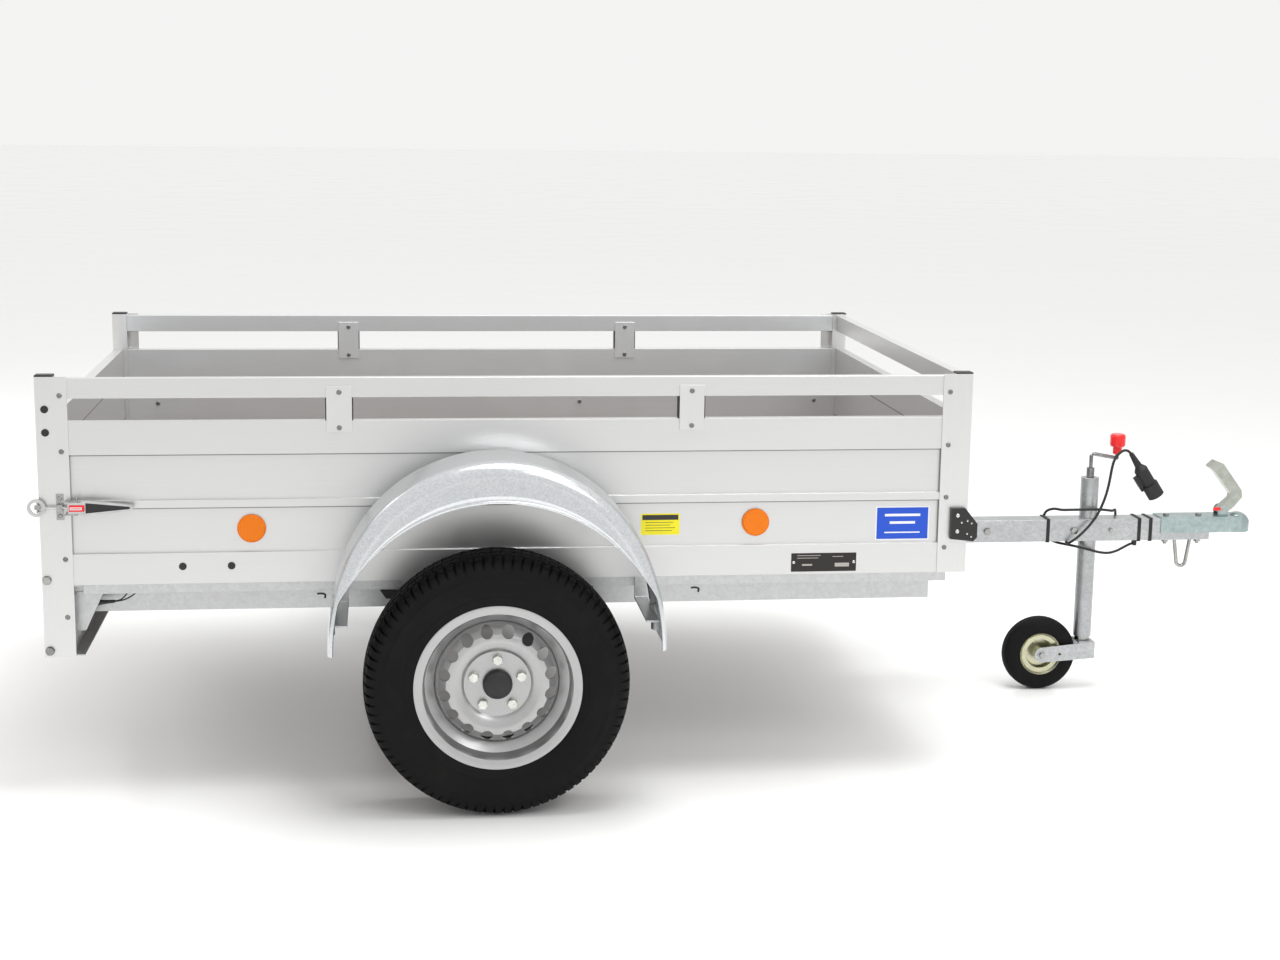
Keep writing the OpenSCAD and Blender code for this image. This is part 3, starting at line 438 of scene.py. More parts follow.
def prism_lens(name, colour, cell=0.0032):
    """A clear coloured lens with rows of small prisms pressed into it."""
    finish = Finish(name, roughness=0.42, colour=colour, specular_ior_level=0.25)
    step = math.pi / cell
    x, z = finish.part("X") * step, finish.part("Z") * step
    y = finish.part("Y") * step
    prisms = ((x + y) * 1.0).sine().absolute() + (0.5 * x + 0.866 * z).sine().absolute()
    prisms = prisms + (0.5 * y + 0.866 * z).sine().absolute()
    deep = tuple(c * 0.72 for c in colour)
    finish.drive("Base Color", finish.blend(finish.ramp(prisms, 0.9, 2.4), deep, colour))
    finish.bump(prisms, strength=0.5, distance=0.0008)
    return finish.material


black_plastic = moulded("black_plastic", grey(0.012))
black_steel = moulded("black_steel", grey(0.025), 0.35, 700.0, 0.2)
red_plastic = moulded("red_plastic", (0.78, 0.008, 0.010), 0.3, 2200.0, 0.2)
soft_black = moulded("soft_black", grey(0.011), 0.6, 2400.0)
wheel_silver = wheel_paint("wheel_silver")
floor_board = film_faced_board("floor_board")
tread_rubber = tyre_rubber("tread_rubber")
orange_lens = prism_lens("orange_lens", (0.95, 0.22, 0.004))
red_lens = prism_lens("red_lens", (0.50, 0.008, 0.006), 0.004)
print("paint, plastic, rubber, wood: 9 finishes")

# %% [markdown]
# ## Making a surface
# A new piece is a grid of points worked out as whole arrays. One helper turns the grid
# into a mesh, closing it along either direction where the shape runs back into itself.

# %% Grids into meshes
def grid_faces(rows, columns, close_rows=False, close_columns=False):
    """Four-sided faces between neighbours of a rows by columns grid of points."""
    r = np.arange(rows if close_rows else rows - 1)
    c = np.arange(columns if close_columns else columns - 1)
    r, c = np.meshgrid(r, c, indexing="ij")
    r2, c2 = (r + 1) % rows, (c + 1) % columns
    corners = [r * columns + c, r * columns + c2, r2 * columns + c2, r2 * columns + c]
    return np.stack([k.ravel() for k in corners], axis=1)


def put_mesh(name, points, faces, material, body, smooth_angle=35.0, uv=None):
    """A mesh object from point and face arrays, with its edges kept sharp above an angle."""
    mesh = bpy.data.meshes.new(name)
    points = np.asarray(points, float).reshape(-1, 3)
    mesh.from_pydata(points.tolist(), [], [list(map(int, face)) for face in faces])
    mesh.validate()
    build = bmesh.new()
    build.from_mesh(mesh)
    bmesh.ops.remove_doubles(build, verts=build.verts, dist=1e-7)
    bmesh.ops.recalc_face_normals(build, faces=build.faces)
    mark_sharp(build, smooth_angle)
    build.to_mesh(mesh)
    build.free()
    mesh.materials.append(material)
    piece = bpy.data.objects.new(name, mesh)
    bpy.context.scene.collection.objects.link(piece)
    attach(piece, body)
    return piece


def mark_sharp(build, angle):
    """Smooths every face, but keeps an edge hard where its faces meet above an angle in degrees."""
    for face in build.faces:
        face.smooth = True
    for edge in build.edges:
        edge.smooth = len(edge.link_faces) == 2 and edge.calc_face_angle(0) < math.radians(angle)


def turned(profile, centre, outward, name, material, body, segments=96, smooth_angle=35.0):
    """A profile of (radius, distance along the axis) turned about a Y axis through centre.
    outward is -1 where the distance runs towards -Y and 1 where it runs towards +Y."""
    profile = np.asarray(profile, float)
    angle = np.linspace(0, 2 * np.pi, segments, endpoint=False)[:, None]
    radius, along = profile[None, :, 0], profile[None, :, 1]
    points = np.stack([centre.x + radius * np.cos(angle), centre.y + outward * along + 0 * angle,
                       centre.z + radius * np.sin(angle)], axis=-1)
    faces = grid_faces(segments, len(profile), close_rows=True)
    return put_mesh(name, points, faces, material, body, smooth_angle)


print("a grid of 3 by 4 points has", len(grid_faces(3, 4)), "faces")

# %% [markdown]
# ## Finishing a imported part
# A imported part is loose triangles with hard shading. A merged copy keeps its exact
# shape, but shades its round faces smoothly, and a small bevel breaks its edges, as
# every real edge is broken. The copy then stands for the part.

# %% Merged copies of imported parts
def finished(node, material, bevel_mm=0.0, angle=32.0):
    """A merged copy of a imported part, with smooth round faces and broken edges."""
    source = nodes[node].data
    points = np.empty(len(source.vertices) * 3)
    source.vertices.foreach_get("co", points)
    corners = np.empty(len(source.loops), int)
    source.loops.foreach_get("vertex_index", corners)
    points, corners = points.reshape(-1, 3), corners.reshape(-1, 3)
    microns = np.round(points * 1e6).astype(np.int64)
    _, first, merged = np.unique(microns, axis=0, return_index=True, return_inverse=True)
    faces = merged.reshape(-1)[corners]
    whole = (faces[:, 0] != faces[:, 1]) & (faces[:, 1] != faces[:, 2]) & (faces[:, 0] != faces[:, 2])
    mesh = bpy.data.meshes.new(node + "_finished")
    mesh.from_pydata(points[first].tolist(), [], faces[whole].tolist())
    build = bmesh.new()
    build.from_mesh(mesh)
    bmesh.ops.dissolve_limit(build, angle_limit=math.radians(0.2), verts=build.verts, edges=build.edges)
    mark_sharp(build, angle)
    build.to_mesh(mesh)
    build.free()
    mesh.materials.append(material)
    piece = bpy.data.objects.new(node + "_finished", mesh)
    bpy.context.scene.collection.objects.link(piece)
    if bevel_mm:
        bevel = piece.modifiers.new("broken_edges", "BEVEL")
        bevel.width, bevel.segments, bevel.limit_method = bevel_mm * MM, 2, "ANGLE"
        bevel.angle_limit = math.radians(angle)
        bevel.harden_normals = True
    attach(piece, nodes[node]["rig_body"])
    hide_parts(node)
    return piece


# %% [markdown]
# ## The connector cable
# The cable leaves a clip under the drawbar, is wound round it, and ends in a plug that
# hangs nose down. A smooth curve through the route's points carries a round section.

# %% Route and tube of the cable
CABLE_ROUTE_MM = [
    (666, -22, 408), (650, -25, 404), (632, -28, 396), (612, -32, 388), (590, -36, 384),
    (566, -38, 386), (542, -38, 392), (518, -35, 398), (496, -25, 402), (477, -5, 403),
    (459, 18, 404), (443, 36, 411), (433, 43, 428), (428, 45, 450), (429, 42, 472),
    (435, 32, 489), (448, 12, 498), (463, -9, 499), (483, -24, 502), (507, -33, 504),
    (533, -37, 505), (560, -35, 504), (584, -25, 500), (604, -8, 495), (620, 14, 493),
    (630, 37, 483), (634, 45, 463), (631, 46, 440), (622, 44, 422), (606, 38, 410),
    (584, 35, 407), (558, 34, 407), (531, 33, 407), (508, 27, 408), (489, 10, 410),
    (478, -11, 410), (474, -32, 411), (480, -47, 419), (496, -52, 433), (516, -50, 451),
    (534, -48, 471), (549, -48, 494), (559, -52, 520), (564, -62, 548), (565, -75, 576),
    (564, -88, 603), (564, -97, 629), (568, -100, 650), (578, -101, 667), (591, -100, 676),
    (603, -99, 676), (614, -98, 668),
]
CABLE_DIAMETER = 0.007


def smooth_route(points, per_span=5):
    """Catmull-Rom curve: each span is a cubic through its two points, aimed by their neighbours."""
    p = np.vstack([2 * points[0] - points[1], points, 2 * points[-1] - points[-2]])
    t = np.linspace(0, 1, per_span, endpoint=False)[None, :, None]
    a, b, c, d = p[:-3, None], p[1:-2, None], p[2:-1, None], p[3:, None]
    curve = 0.5 * (2 * b + (c - a) * t + (2 * a - 5 * b + 4 * c - d) * t**2
                   + (3 * b - a - 3 * c + d) * t**3)
    return np.vstack([curve.reshape(-1, 3), points[-1:]])


def carried_frames(path):
    """Two directions across the path at each point, turned no more than the path turns."""
    ahead = np.gradient(path, axis=0)
    ahead /= np.linalg.norm(ahead, axis=1, keepdims=True)
    side = np.zeros_like(path)
    side[0] = np.cross(ahead[0], (0.0, 0.0, 1.0))
    for i in range(1, len(path)):
        side[i] = side[i - 1] - np.dot(side[i - 1], ahead[i]) * ahead[i]
        side[i] /= np.linalg.norm(side[i])
    side[0] /= np.linalg.norm(side[0])
    return side, np.cross(ahead, side)


def swept_tube(name, path, radius, material, body, sides=14):
    """A circle of a radius, or of one radius for each point, carried along a path."""
    side, up = carried_frames(path)
    angle = np.linspace(0, 2 * np.pi, sides, endpoint=False)
    radius = np.broadcast_to(np.asarray(radius, float), (len(path),))[:, None, None]
    ring = np.cos(angle)[None, :, None] * side[:, None] + np.sin(angle)[None, :, None] * up[:, None]
    points = path[:, None] + radius * ring
    faces = grid_faces(len(path), sides, close_columns=True).tolist()
    faces += [list(range(sides)), [(len(path) - 1) * sides + k for k in range(sides)]]
    return put_mesh(name, points, faces, material, body)


route = np.array(CABLE_ROUTE_MM, float) * MM + np.array([front_x, 0, 0])
cable_path = smooth_route(route)
cable = swept_tube("cable", cable_path, CABLE_DIAMETER / 2, soft_black, "chassis")
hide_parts("connector_cable")

plug_body = finished("connector_plug", soft_black, 0.8)

# %% [markdown]
# ## The floor and the light
# A pale floor and a white surround stand for the studio. One wide lamp above and two
# large weak ones give soft shadows and long highlights on the fender.

# %% Floor, surround and lamps
def studio_floor(size=60.0):
    """A pale floor, slightly glossy, so that the tyres reflect softly."""
    mesh = bpy.data.meshes.new("studio_floor")
    s = size
    mesh.from_pydata([(-s, -s, 0), (s, -s, 0), (s, s, 0), (-s, s, 0)], [], [(0, 1, 2, 3)])
    finish = Finish("floor_paint", roughness=0.22, colour=grey(0.93, (1, 0.999, 0.995)))
    finish.drive("Roughness", 0.2 + 0.08 * finish.noise(1.5, detail=3))
    mesh.materials.append(finish.material)
    floor = bpy.data.objects.new("studio_floor", mesh)
    bpy.context.scene.collection.objects.link(floor)


def lamp(name, place, aim, size, power):
    """A square lamp of a size, aimed at a point."""
    light = bpy.data.lights.new(name, "AREA")
    light.shape, light.size, light.energy = "SQUARE", size, power
    holder = bpy.data.objects.new(name, light)
    holder.location = place
    holder.rotation_euler = (Vector(aim) - Vector(place)).to_track_quat("-Z", "Y").to_euler()
    bpy.context.scene.collection.objects.link(holder)


studio_floor()
lamp("lamp_above", (0.4, -0.6, 5.0), (0, 0, 0.4), 2.6, 190)
lamp("lamp_front", (2.6, -4.6, 5.2), (0, 0, 0.5), 2.2, 70)
lamp("lamp_rear", (-4.5, 3.5, 3.2), (0, 0, 0.5), 3.0, 60)
world = bpy.data.worlds.new("white_surround")
world.use_nodes = True
world.node_tree.nodes["Background"].inputs["Color"].default_value = (1, 1, 0.995, 1)
world.node_tree.nodes["Background"].inputs["Strength"].default_value = 0.90
bpy.context.scene.world = world
bpy.context.scene.view_settings.view_transform = "Standard"
print("studio ready")

# %% [markdown]
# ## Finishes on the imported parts
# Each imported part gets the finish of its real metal, plastic or rubber. Long bars get
# a bevel of under a millimetre, and small parts a smaller one.

# %% Hand out the finishes
FINISHES = {
    "floor_panel": (floor_board, 0.5), "side_board_right": (aluminium_x, 0.7),
    "side_board_left": (aluminium_x, 0.7), "front_board": (aluminium_y, 0.7),
    "tailgate": (aluminium_y, 0.7), "rear_posts": (aluminium_z, 0.6),
    "front_posts": (aluminium_z, 0.6), "top_rails": (aluminium_x, 1.0),
    "rail_brackets": (aluminium_z, 0.6), "post_caps": (black_plastic, 1.0),
    "plastic_inserts": (black_plastic, 0.6), "frame_screws": (zinc_dark, 0.3),
    "chassis_beams": (zinc_frame, 0.8), "cross_members": (zinc_frame, 0.8),
    "rear_beam": (zinc_frame, 0.6), "corner_brackets": (black_plastic, 1.2),
    "drawbar": (zinc_bar, 2.0), "drawbar_bolts": (zinc_bolt, 0.4),
    "cable_straps": (soft_black, 0.4), "axle_tube": (zinc_axle, 2.0),
    "axle_brackets": (black_steel, 0.8), "swing_arm_right": (zinc_axle, 1.5),
    "swing_arm_left": (zinc_axle, 1.5), "hub_right": (zinc_axle, 0.8),
    "hub_left": (zinc_axle, 0.8), "rim_right": (wheel_silver, 0.8),
    "rim_left": (wheel_silver, 0.8), "wheel_bolts_right": (zinc_pale, 0.5),
    "wheel_bolts_left": (zinc_pale, 0.5), "centre_cap_right": (black_plastic, 0.0),
    "centre_cap_left": (black_plastic, 0.0), "fender_stays": (zinc_frame, 0.8),
    "jockey_outer_tube": (zinc_tube, 1.0), "jockey_inner_tube": (zinc_bolt, 0.5),
    "jockey_crank": (zinc_dark, 0.4), "jockey_knob": (red_plastic, 1.0),
    "jockey_fork": (zinc_bar, 0.8), "jockey_axle": (zinc_bolt, 0.4),
    "jockey_rim": (zinc_yellow, 0.4), "jockey_tyre": (tread_rubber, 1.0),
    "coupling_body": (zinc_clear, 0.8), "coupling_lever": (zinc_lever, 1.5),
    "coupling_jaw": (zinc_clear, 0.4), "support_bar": (zinc_bolt, 0.0),
    "latch_bases": (zinc_bolt, 0.4), "latch_lever_right": (chrome, 0.8),
    "latch_lever_left": (chrome, 0.8), "latch_hook_right": (chrome, 0.8),
    "latch_hook_left": (chrome, 0.8), "latch_catch_right": (red_plastic, 0.8),
    "latch_catch_left": (red_plastic, 0.8), "tailgate_fittings": (zinc_bolt, 0.4),
}
for node, (material, bevel_mm) in FINISHES.items():
    finished(node, material, bevel_mm)
print(len(FINISHES), "packed parts finished")

# %% [markdown]
# ## The tyres
# A road tyre of this kind has round ribs between grooves, cut across at the shoulders.
# The section is one closed loop, out over the tread and back inside. Going round, the
# depth of the cross cuts switches on and off once for each pitch of the tread.

# %% Section of the tyre
TREAD_PITCHES = 84
PITCH_STEPS = np.array([0.0, 0.03, 0.26, 0.29, 0.50, 0.52, 0.60, 0.62, 0.80])
GROOVES_MM = (17.0, 41.0)
GROOVE_HALF_MM = 4.0
GROOVE_DEPTH_MM = 7.5


def tread_section():
    """Rows of (radius, offset, shoulder cut, rib cut) in millimetres, from bead to bead.
    The crown is a shallow arch, and each groove has a floor between two sloped walls."""
    flank = [(167.4, 44, 0, 0), (167.4, 56.2, 0, 0), (170.8, 62.2, 0, 0), (186.5, 65.8, 0, 0), (188, 70, 0, 0),
             (190, 71, 0, 0), (194, 74.6, 0, 0), (199, 76.6, 0, 0), (203, 78.2, 0, 0), (205, 79.7, 0, 0),
             (208, 79.9, 0, 0), (210, 79.2, 0, 0), (222, 81.4, 0, 0), (235, 82.3, 0, 0), (246, 81.8, 0, 0),
             (249, 82.4, 0, 0), (252, 82.2, 0, 0), (254, 80.6, 0, 0), (262, 78.6, 0, 0), (268, 76.5, 0, 0),
             (271, 76.6, 2.5, 0), (276, 75.4, 4.5, 0), (283, 70.8, 6, 0), (289, 64.6, 7, 0)]
    crown = []
    edges = [(60.0, 7.0, 0)]
    for middle_mm in sorted(GROOVES_MM, reverse=True):
        outer, inner = middle_mm + GROOVE_HALF_MM, middle_mm - GROOVE_HALF_MM
        shoulder = 7.0 if middle_mm > 30 else 0
        edges += [(outer + 1, shoulder, 1), (outer, shoulder, 1), (outer - 1.2, -1, 0),
                  (inner + 1.2, -1, 0), (inner, 0, 1), (inner - 1, 0, 1)]
    for offset, shoulder, rib in edges:
        arch = 297.0 - 8.0 * (abs(offset) / 64.0) ** 3
        if shoulder < 0:
            crown.append((arch - GROOVE_DEPTH_MM, offset, 0, 0))
        else:
            crown.append((arch, offset, shoulder, 3.0 * rib if not shoulder else 0))
    half = flank + crown
    return np.array(half + [(r, -o, s, c) for r, o, s, c in reversed(half)])


def tyre_lining():
    """The inside of the carcass, from one bead back to the other."""
    half = [(174, 42), (180, 48.5), (192, 58.5), (212, 69.5), (235, 72.5), (263, 69.5),
            (278, 60.5), (285, 48.5)]
    return np.array([(r, -o, 0, 0) for r, o in half] + [(r, o, 0, 0) for r, o in reversed(half)])


print("the tyre's section has", len(tread_section()), "points outside and", len(tyre_lining()), "inside")

# %% Turn the tyres
def treaded_tyre(side):
    """Turns the section about the axle. A cut lowers the radius by its depth while its part
    of the pitch lasts, and a shift in angle that grows with the offset slants every cut."""
    centre, outward = wheel_centre[side], -1 if side == "right" else 1
    section = np.vstack([tread_section(), tyre_lining()])
    radius, offset, shoulder, rib = section.T
    turns = ((np.arange(TREAD_PITCHES)[:, None] + PITCH_STEPS) / TREAD_PITCHES).ravel()
    phase = np.tile(PITCH_STEPS, TREAD_PITCHES)
    shoulder_on = ((phase >= 0.03) & (phase <= 0.26))[:, None]
    rib_on = ((phase >= 0.52) & (phase <= 0.60))[:, None]
    depth = shoulder_on * shoulder + rib_on * rib
    slant = np.sign(offset) * np.clip(np.abs(offset) / 60, 0, 1.2) * 0.35 / TREAD_PITCHES * (radius > 265)
    angle = 2 * np.pi * (turns[:, None] + slant)
    r = (radius - depth) * MM
    points = np.stack([centre.x + r * np.cos(angle), centre.y + outward * offset * MM + 0 * angle,
                       centre.z + r * np.sin(angle)], axis=-1)
    faces = grid_faces(len(turns), len(section), close_rows=True, close_columns=True)
    tyre = put_mesh("tyre_tread_" + side, points, faces, tread_rubber, "wheel_" + side, 28.0)
    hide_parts("tyre_" + side)
    return tyre


for side in wheel_centre:
    tyre = treaded_tyre(side)
    print(tyre.name, len(tyre.data.polygons), "faces")

# %% [markdown]
# ## The fenders
# Each is one pressed sheet: a crown, two round shoulders, and a skirt that is deep at
# the top and runs out to nothing at the tips. The section changes with the angle, so
# it is worked out for every angle, then walked round on the outside and back inside.

# %% Section of the fender at an angle
fender_low, fender_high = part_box("fender_right")
FENDER_RADIUS, SHOULDER, SHEET, HALF_WIDTH = 360.0, 30.0, 2.5, 102.5
SKIRT_RADIUS, SKIRT_DROP, TIP_ANGLE = 380.0, 108.0, 10.0
BEAD_STEPS = np.array([0, 1.5, 3.5, 5.5, 7.0, 9.0, 12.0, 15.0, 17.0, 19.0, 22.0, 28.0])
BEAD_SHAPE = np.array([0.2, 0.85, 1.0, 0.85, 0.0, -0.2, 0.0, 0.7, 0.9, 0.7, 0.0, 0.0])
BEAD_HEIGHT = 2.0
FLARE, FLARE_ANGLE = 18.0, math.radians(22.0)


def fender_section(theta):
    """Half of the outer line at one angle, from the skirt's edge to the middle of the crown.
    Two beads are pressed into the skirt: a rolled rim and a stiffening rib beside it.
    The skirt's edge lies on a circle whose centre is below the fender's own centre.
    Towards the tips the sheet leaves its circle by a distance that grows as a square."""
    edge = -SKIRT_DROP * np.sin(theta) + np.sqrt(SKIRT_RADIUS**2 - (SKIRT_DROP * np.cos(theta)) ** 2)
    hub = FENDER_RADIUS - SHOULDER
    flat = HALF_WIDTH - SHOULDER
    reach = FLARE_ANGLE + np.radians(TIP_ANGLE)
    to_tip = np.clip((FLARE_ANGLE - np.minimum(theta, np.pi - theta)) / reach, 0, 1)
    depth = hub - min(edge, hub)
    scale = min(1.0, depth / (2 * BEAD_STEPS[-1]))
    skirt = min(edge, hub) + np.append(BEAD_STEPS[:-1] * scale, depth)
    fold = BEAD_HEIGHT * scale * BEAD_SHAPE
    start = np.pi / 2 if edge < hub else np.arccos(np.clip((edge - hub) / SHOULDER, 0, 0.6))
    turn = np.linspace(start, 0, 12)[1:]
    crown = np.linspace(flat, 0, 7)[1:]
    count = len(BEAD_STEPS)
    radius = np.concatenate([skirt if edge < hub else np.full(count, hub + SHOULDER * np.cos(start)),
                             hub + SHOULDER * np.cos(turn), np.full(6, FENDER_RADIUS)])
    offset = np.concatenate([flat + SHOULDER * np.sin(start) + fold,
                             flat + SHOULDER * np.sin(turn), crown])
    return np.stack([radius + FLARE * to_tip**2, offset], axis=1)


def pressed_fender(side):
    """Carries the section from tip to tip. The inside is the outside moved in by the sheet."""
    centre_z = (fender_high.z / MM) - FENDER_RADIUS
    centre_x = (fender_low.x + fender_high.x) / 2
    centre_y, outward = wheel_centre[side].y, -1 if side == "right" else 1
    thetas = np.radians(np.linspace(-TIP_ANGLE, 180 + TIP_ANGLE, 141))
    rings = []
    for theta in thetas:
        half = fender_section(theta)
        line = np.vstack([half, (half * [1, -1])[::-1][1:]])
        ahead = np.gradient(line, axis=0)
        ahead /= np.maximum(np.linalg.norm(ahead, axis=1, keepdims=True), 1e-9)
        inward = np.stack([ahead[:, 1], -ahead[:, 0]], axis=1)
        rings.append(np.vstack([line, (line + SHEET * inward)[::-1]]))
    rings = np.array(rings)
    radius, offset = rings[..., 0], rings[..., 1]
    points = np.stack([centre_x + radius * MM * np.cos(thetas)[:, None],
                       centre_y + outward * offset * MM,
                       (centre_z + radius * np.sin(thetas)[:, None]) * MM], axis=-1)
    count = rings.shape[1]
    faces = grid_faces(len(thetas), count, close_columns=True).tolist()
    for row in (0, len(thetas) - 1):
        base = row * count
        faces += [[base + k, base + k + 1, base + count - 2 - k, base + count - 1 - k]
                  for k in range(count // 2 - 1)]
    piece = put_mesh("pressed_fender_" + side, points, faces, zinc_sheet, "chassis", 40.0)
    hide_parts("fender_" + side)
    return piece


for side in ("right", "left"):
    piece = pressed_fender(side)
    print(piece.name, len(piece.data.polygons), "faces")

# %% [markdown]
# ## Thin plates
# Stickers, the type plate and the inlays of the latches are flat plates with round
# corners. Each is an outline in X and Z, carried a short way along Y and closed.

# %% Plates with round corners
def round_outline(x0, x1, z0, z1, corner, steps=6):
    """A rectangle whose corners are quarter circles of one radius, as (x, z) points."""
    quarter = np.linspace(0, np.pi / 2, steps)
    corners = [(x1, z1, 0), (x0, z1, 1), (x0, z0, 2), (x1, z0, 3)]
    points = []
    for x, z, turn in corners:
        angle = quarter + turn * np.pi / 2
        middle_x = x - corner * (1 if x == x1 else -1)
        middle_z = z - corner * (1 if z == z1 else -1)
        points.append(np.stack([middle_x + corner * np.cos(angle),
                                middle_z + corner * np.sin(angle)], axis=1))
    return np.vstack(points)


def plate(name, outline_mm, y_mm, material, body, edge=0.3):
    """An (x, z) outline in millimetres from the rear, carried from one Y to another.
    The front rim is drawn in by a small edge, so that the plate's outline catches light."""
    outline = np.asarray(outline_mm, float)
    centre = outline.mean(axis=0)
    reach = np.linalg.norm(outline - centre, axis=1, keepdims=True)
    small = centre + (outline - centre) * (1 - edge / np.maximum(reach, edge * 2))
    back, front = y_mm
    lip = np.sign(front - back) * min(edge, abs(front - back) / 2)
    rings = [(outline, back), (outline, front - lip), (small, front)]
    points = np.concatenate([np.stack([ring[:, 0], np.full(len(ring), y), ring[:, 1]], axis=1)
                             for ring, y in rings])
    points = points * MM + np.array([rear_x, 0, 0])
    count = len(outline)
    faces = grid_faces(3, count, close_columns=True).tolist()
    faces += [list(range(count)), [2 * count + k for k in range(count)]]
    piece = put_mesh(name, points, faces, material, body, 30.0)
    return piece


print("a rounded outline has", len(round_outline(0, 10, 0, 5, 1)), "points")

# %% [markdown]
# ## Stickers and the type plate
# A yellow sticker, a blue one and a dark riveted plate sit on the near board. Real ones
# carry lettering, so these have plain bars instead. A bar is a mask: 1 inside an X and
# Z range, 0 outside, and the masks are added before they choose between two inks.

# %% Printed finishes
def printed(name, ground, ink, bars_mm, roughness=0.35, metallic=0.0):
    """A ground colour with rectangles of ink, each (x0, x1, z0, z1) in millimetres."""
    finish = Finish(name, roughness=roughness, colour=ground, metallic=metallic)
    x, z = finish.part("X"), finish.part("Z")
    mask = None
    for x0, x1, z0, z1 in bars_mm:
        bar = x.between(rear_x + x0 * MM, rear_x + x1 * MM) * z.between(z0 * MM, z1 * MM)
        mask = bar if mask is None else mask + bar
    wear = finish.noise(40.0, detail=4)
    finish.drive("Base Color", finish.blend(mask, ground, ink))
    finish.drive("Roughness", roughness - 0.06 + 0.12 * wear)
    finish.bump(finish.noise(500.0, detail=2), strength=0.08, distance=0.0001)
    return finish.material


def bars(x0, widths, z_top, pitch, height):
    """Rows of bars like lines of print, one bar for each width, from the top down."""
    return [(x0, x0 + width, z_top - row * pitch - height, z_top - row * pitch)
            for row, width in enumerate(widths)]


yellow_print = printed("yellow_print", (0.93, 0.83, 0.01), (0.02, 0.02, 0.018),
                       [(1351, 1435, 622, 634)] + bars(1358, (66, 58, 70, 62), 617, 6.5, 1.3))
blue_print = printed("blue_print", (0.006, 0.075, 0.58), (0.82, 0.83, 0.85),
                     [(1902, 1905, 567, 648), (2028, 2031, 567, 648),
                      (1902, 2031, 567, 570), (1902, 2031, 645, 648)]
                     + bars(1924, (85,), 630, 1, 6) + bars(1936, (61,), 612, 1, 6)
                     + bars(1924, (85,), 587, 1, 3))
plate_print = printed("plate_print", (0.020, 0.017, 0.015), (0.42, 0.40, 0.37),
                      bars(1716, (56, 50), 535, 6, 1.4) + bars(1728, (24,), 514, 8, 4)
                      + bars(1806, (34,), 516, 9, 9) + bars(1800, (26,), 532, 6, 1.4), 0.3, 0.3)
print("printed finishes: yellow, blue, dark plate")

# %% Put them on the near board
RECESS_MM = 7.0
face_mm = board_face / MM
recess_mm = face_mm + RECESS_MM
plate("yellow_sticker", round_outline(1348, 1438, 587, 637, 2), (recess_mm + 0.05, recess_mm - 0.35),
      yellow_print, "chassis", 0.1)
plate("blue_sticker", round_outline(1902, 2031, 567, 648, 2), (recess_mm + 0.05, recess_mm - 0.35),
      blue_print, "chassis", 0.1)
plate("type_plate", round_outline(1702, 1857, 496, 540, 1.5), (face_mm + 0.05, face_mm - 0.8),
      plate_print, "chassis", 0.2)
for number, x_mm in enumerate((1708, 1851)):
    head = np.array([(0.0, 2.0), (1.6, 1.9), (3.0, 1.2), (3.8, 0.3), (3.9, 0.0), (0.0, 0.0)])
    rivet = turned(head * MM, from_rear(x_mm, face_mm - 0.75, 518), -1, "type_plate_rivet_%d" % number,
                   chrome, "chassis", 20)
print("stickers at y", recess_mm, "plate at y", face_mm)

# %% [markdown]
# ## Inlays of the tailgate latches
# Each chromed lever has a black grip pressed into its outer face. Its outline tapers
# towards the tip, so its half height is a straight line in X with a round nose.

# %% Latch inlays
def tapered_outline(x0, x1, z_mm, half_start, half_end, steps=10):
    """Straight sides from one half height to the other, closed by a half circle at the tip."""
    nose = np.linspace(-np.pi / 2, np.pi / 2, steps)
    tip = np.stack([x1 - half_end + half_end * np.cos(nose), z_mm + half_end * np.sin(nose)], axis=1)
    return np.vstack([[(x0, z_mm - half_start)], tip, [(x0, z_mm + half_start)]])


LEVER_FACE_MM, LATCH_Z_MM = 700.0, 670.0
BADGE_BACK_MM, BADGE_FACE_MM = 703.9, 704.15
for side, sign in (("right", -1), ("left", 1)):
    plate("latch_inlay_" + side, tapered_outline(103.5, 200, LATCH_Z_MM, 11.5, 2.6),
          (sign * (LEVER_FACE_MM - 0.1), sign * (LEVER_FACE_MM + 1.6)), black_plastic,
          "latch_lever_" + side, 0.8)
    plate("latch_badge_" + side, round_outline(70, 96, LATCH_Z_MM - 3.2, LATCH_Z_MM + 3.2, 1),
          (sign * BADGE_BACK_MM, sign * BADGE_FACE_MM),
          printed("badge_print_" + side, (0.78, 0.75, 0.74), (0.7, 0.02, 0.02),
                  [(72, 94, LATCH_Z_MM - 1.0, LATCH_Z_MM + 1.0)]),
          "latch_catch_" + side, 0.1)
print("latch inlays on both levers")

# %% [markdown]
# ## Small black parts under the box
# A cable connector with two tie tails looks out behind the rear post, and small clips
# hold the wiring to the long beam. The tails are thin tubes along short curves.

# %% Connector, ties and clips
TAIL_RADIUS_MM, CLIP_RADIUS_MM = 1.7, 2.4
CLIP_PLACES_MM = (621, 1480)


def small_tube(name, points_mm, radius_mm, material, body, slot, sides=10):
    """A tube along a smooth curve through a few points given in millimetres from the rear."""
    path = smooth_route(np.array(points_mm, float) * MM + np.array([rear_x, 0, 0]), 4)
    piece = swept_tube(name, path, np.asarray(radius_mm) * MM, material, body, sides)
    return piece


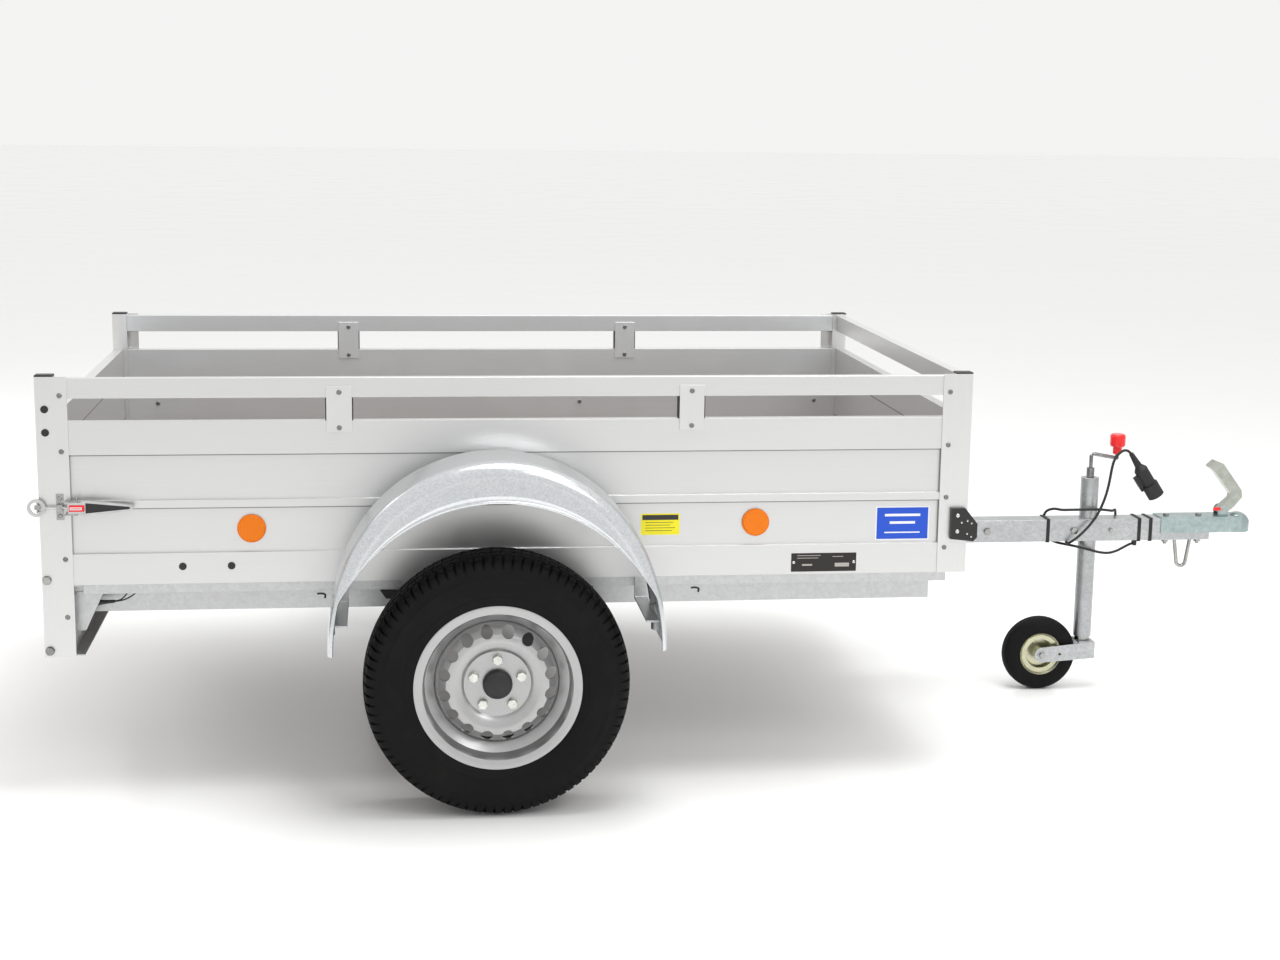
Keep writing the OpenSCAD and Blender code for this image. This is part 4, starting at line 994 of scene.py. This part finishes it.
for side, sign in (("right", -1), ("left", 1)):
    y = sign * 620
    black = (black_plastic, "chassis", "black_plastic")
    body = [(92, y, 437), (104, y, 437), (118, y, 436), (134, y, 437), (150, y, 438)]
    upper = [(146, y, 438), (162, y + sign * 3, 442), (172, y + sign * 5, 450), (180, y + sign * 6, 460)]
    lower = [(146, y, 437), (168, y - sign * 3, 440), (186, y - sign * 5, 448), (199, y - sign * 6, 459)]
    taper = np.interp(np.linspace(0, 1, 17), [0, 0.3, 0.6, 1], [9, 8, 5, 3.5])
    small_tube("lamp_connector_" + side, body, taper, *black, 12)
    small_tube("tie_tail_upper_" + side, upper, TAIL_RADIUS_MM, *black, 6)
    small_tube("tie_tail_lower_" + side, lower, TAIL_RADIUS_MM, *black, 6)
    for number, x_mm in enumerate(CLIP_PLACES_MM):
        hook = [(x_mm - 14, sign * 679, 462), (x_mm - 4, sign * 680, 463),
                (x_mm + 4, sign * 680, 460), (x_mm + 3, sign * 680, 452)]
        small_tube("wire_clip_%d_%s" % (number, side), hook, CLIP_RADIUS_MM, *black, 8)
print("connectors, ties and clips on both sides")

# %% [markdown]
# ## Screw heads on the corner brackets
# Pale screws hold each black bracket to its post. All the heads of one side are one
# mesh: the same small turned profile is repeated about each centre.

# %% Screw heads and the coupling's indicator
def button_heads(name, spots_mm, y_mm, outward, material, body, segments=16):
    """Round heads at (x, z, radius) spots in millimetres, standing out from one Y."""
    rise = np.array([(1.0, 0.0), (0.98, 0.10), (0.72, 0.42), (0.30, 0.55), (0.0, 0.58)])
    angle = np.linspace(0, 2 * np.pi, segments, endpoint=False)[:, None]
    points, faces = [], []
    for number, (x, z, radius) in enumerate(spots_mm):
        across, along = radius * rise[:, 0], radius * rise[:, 1]
        head = np.stack([x + across * np.cos(angle), y_mm + outward * along + 0 * angle,
                         z + across * np.sin(angle)], axis=-1)
        points.append(head.reshape(-1, 3))
        faces.append(grid_faces(segments, len(rise), close_rows=True) + number * segments * len(rise))
    points = np.concatenate(points) * MM + np.array([rear_x, 0, 0])
    piece = put_mesh(name, points, np.concatenate(faces), material, body, 50.0)
    return piece


bracket_low, bracket_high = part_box("corner_brackets")
BRACKET_NOSE_MM, SCREW_SUNK_MM = 22, 1.5
corner_x, corner_z = (bracket_high.x - rear_x) / MM - BRACKET_NOSE_MM, bracket_low.z / MM
screw_y = bracket_high.y / MM - SCREW_SUNK_MM
SCREW_SPOTS = [(-26, 62, 5.5), (-26, 24, 5.5), (-16, 45, 3), (-2, 49, 3), (8, 43, 3),
               (-2, 18, 3), (8, 11, 3)]
for side, sign in (("right", -1), ("left", 1)):
    spots = [(corner_x + x, corner_z + z, radius) for x, z, radius in SCREW_SPOTS]
    button_heads("bracket_screws_" + side, spots, sign * screw_y, sign, zinc_pale, "chassis")
coupling_face_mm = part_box("coupling_body")[0].y / MM
plate("coupling_indicator", round_outline(3000, 3022, 497, 506, 2),
      (coupling_face_mm + 0.1, coupling_face_mm - 1.5), red_plastic, "chassis", 0.5)
print("bracket screws at x", round(corner_x), "z", round(corner_z))

# %% [markdown]
# ## Lamps and reflectors
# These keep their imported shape. Their lenses' prisms are in the finish.

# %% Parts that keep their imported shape
for node, lens in (("tail_lamps", red_lens), ("side_reflectors", orange_lens)):
    finished(node, lens, 0.8)
    print(node, "finished with", lens.name)
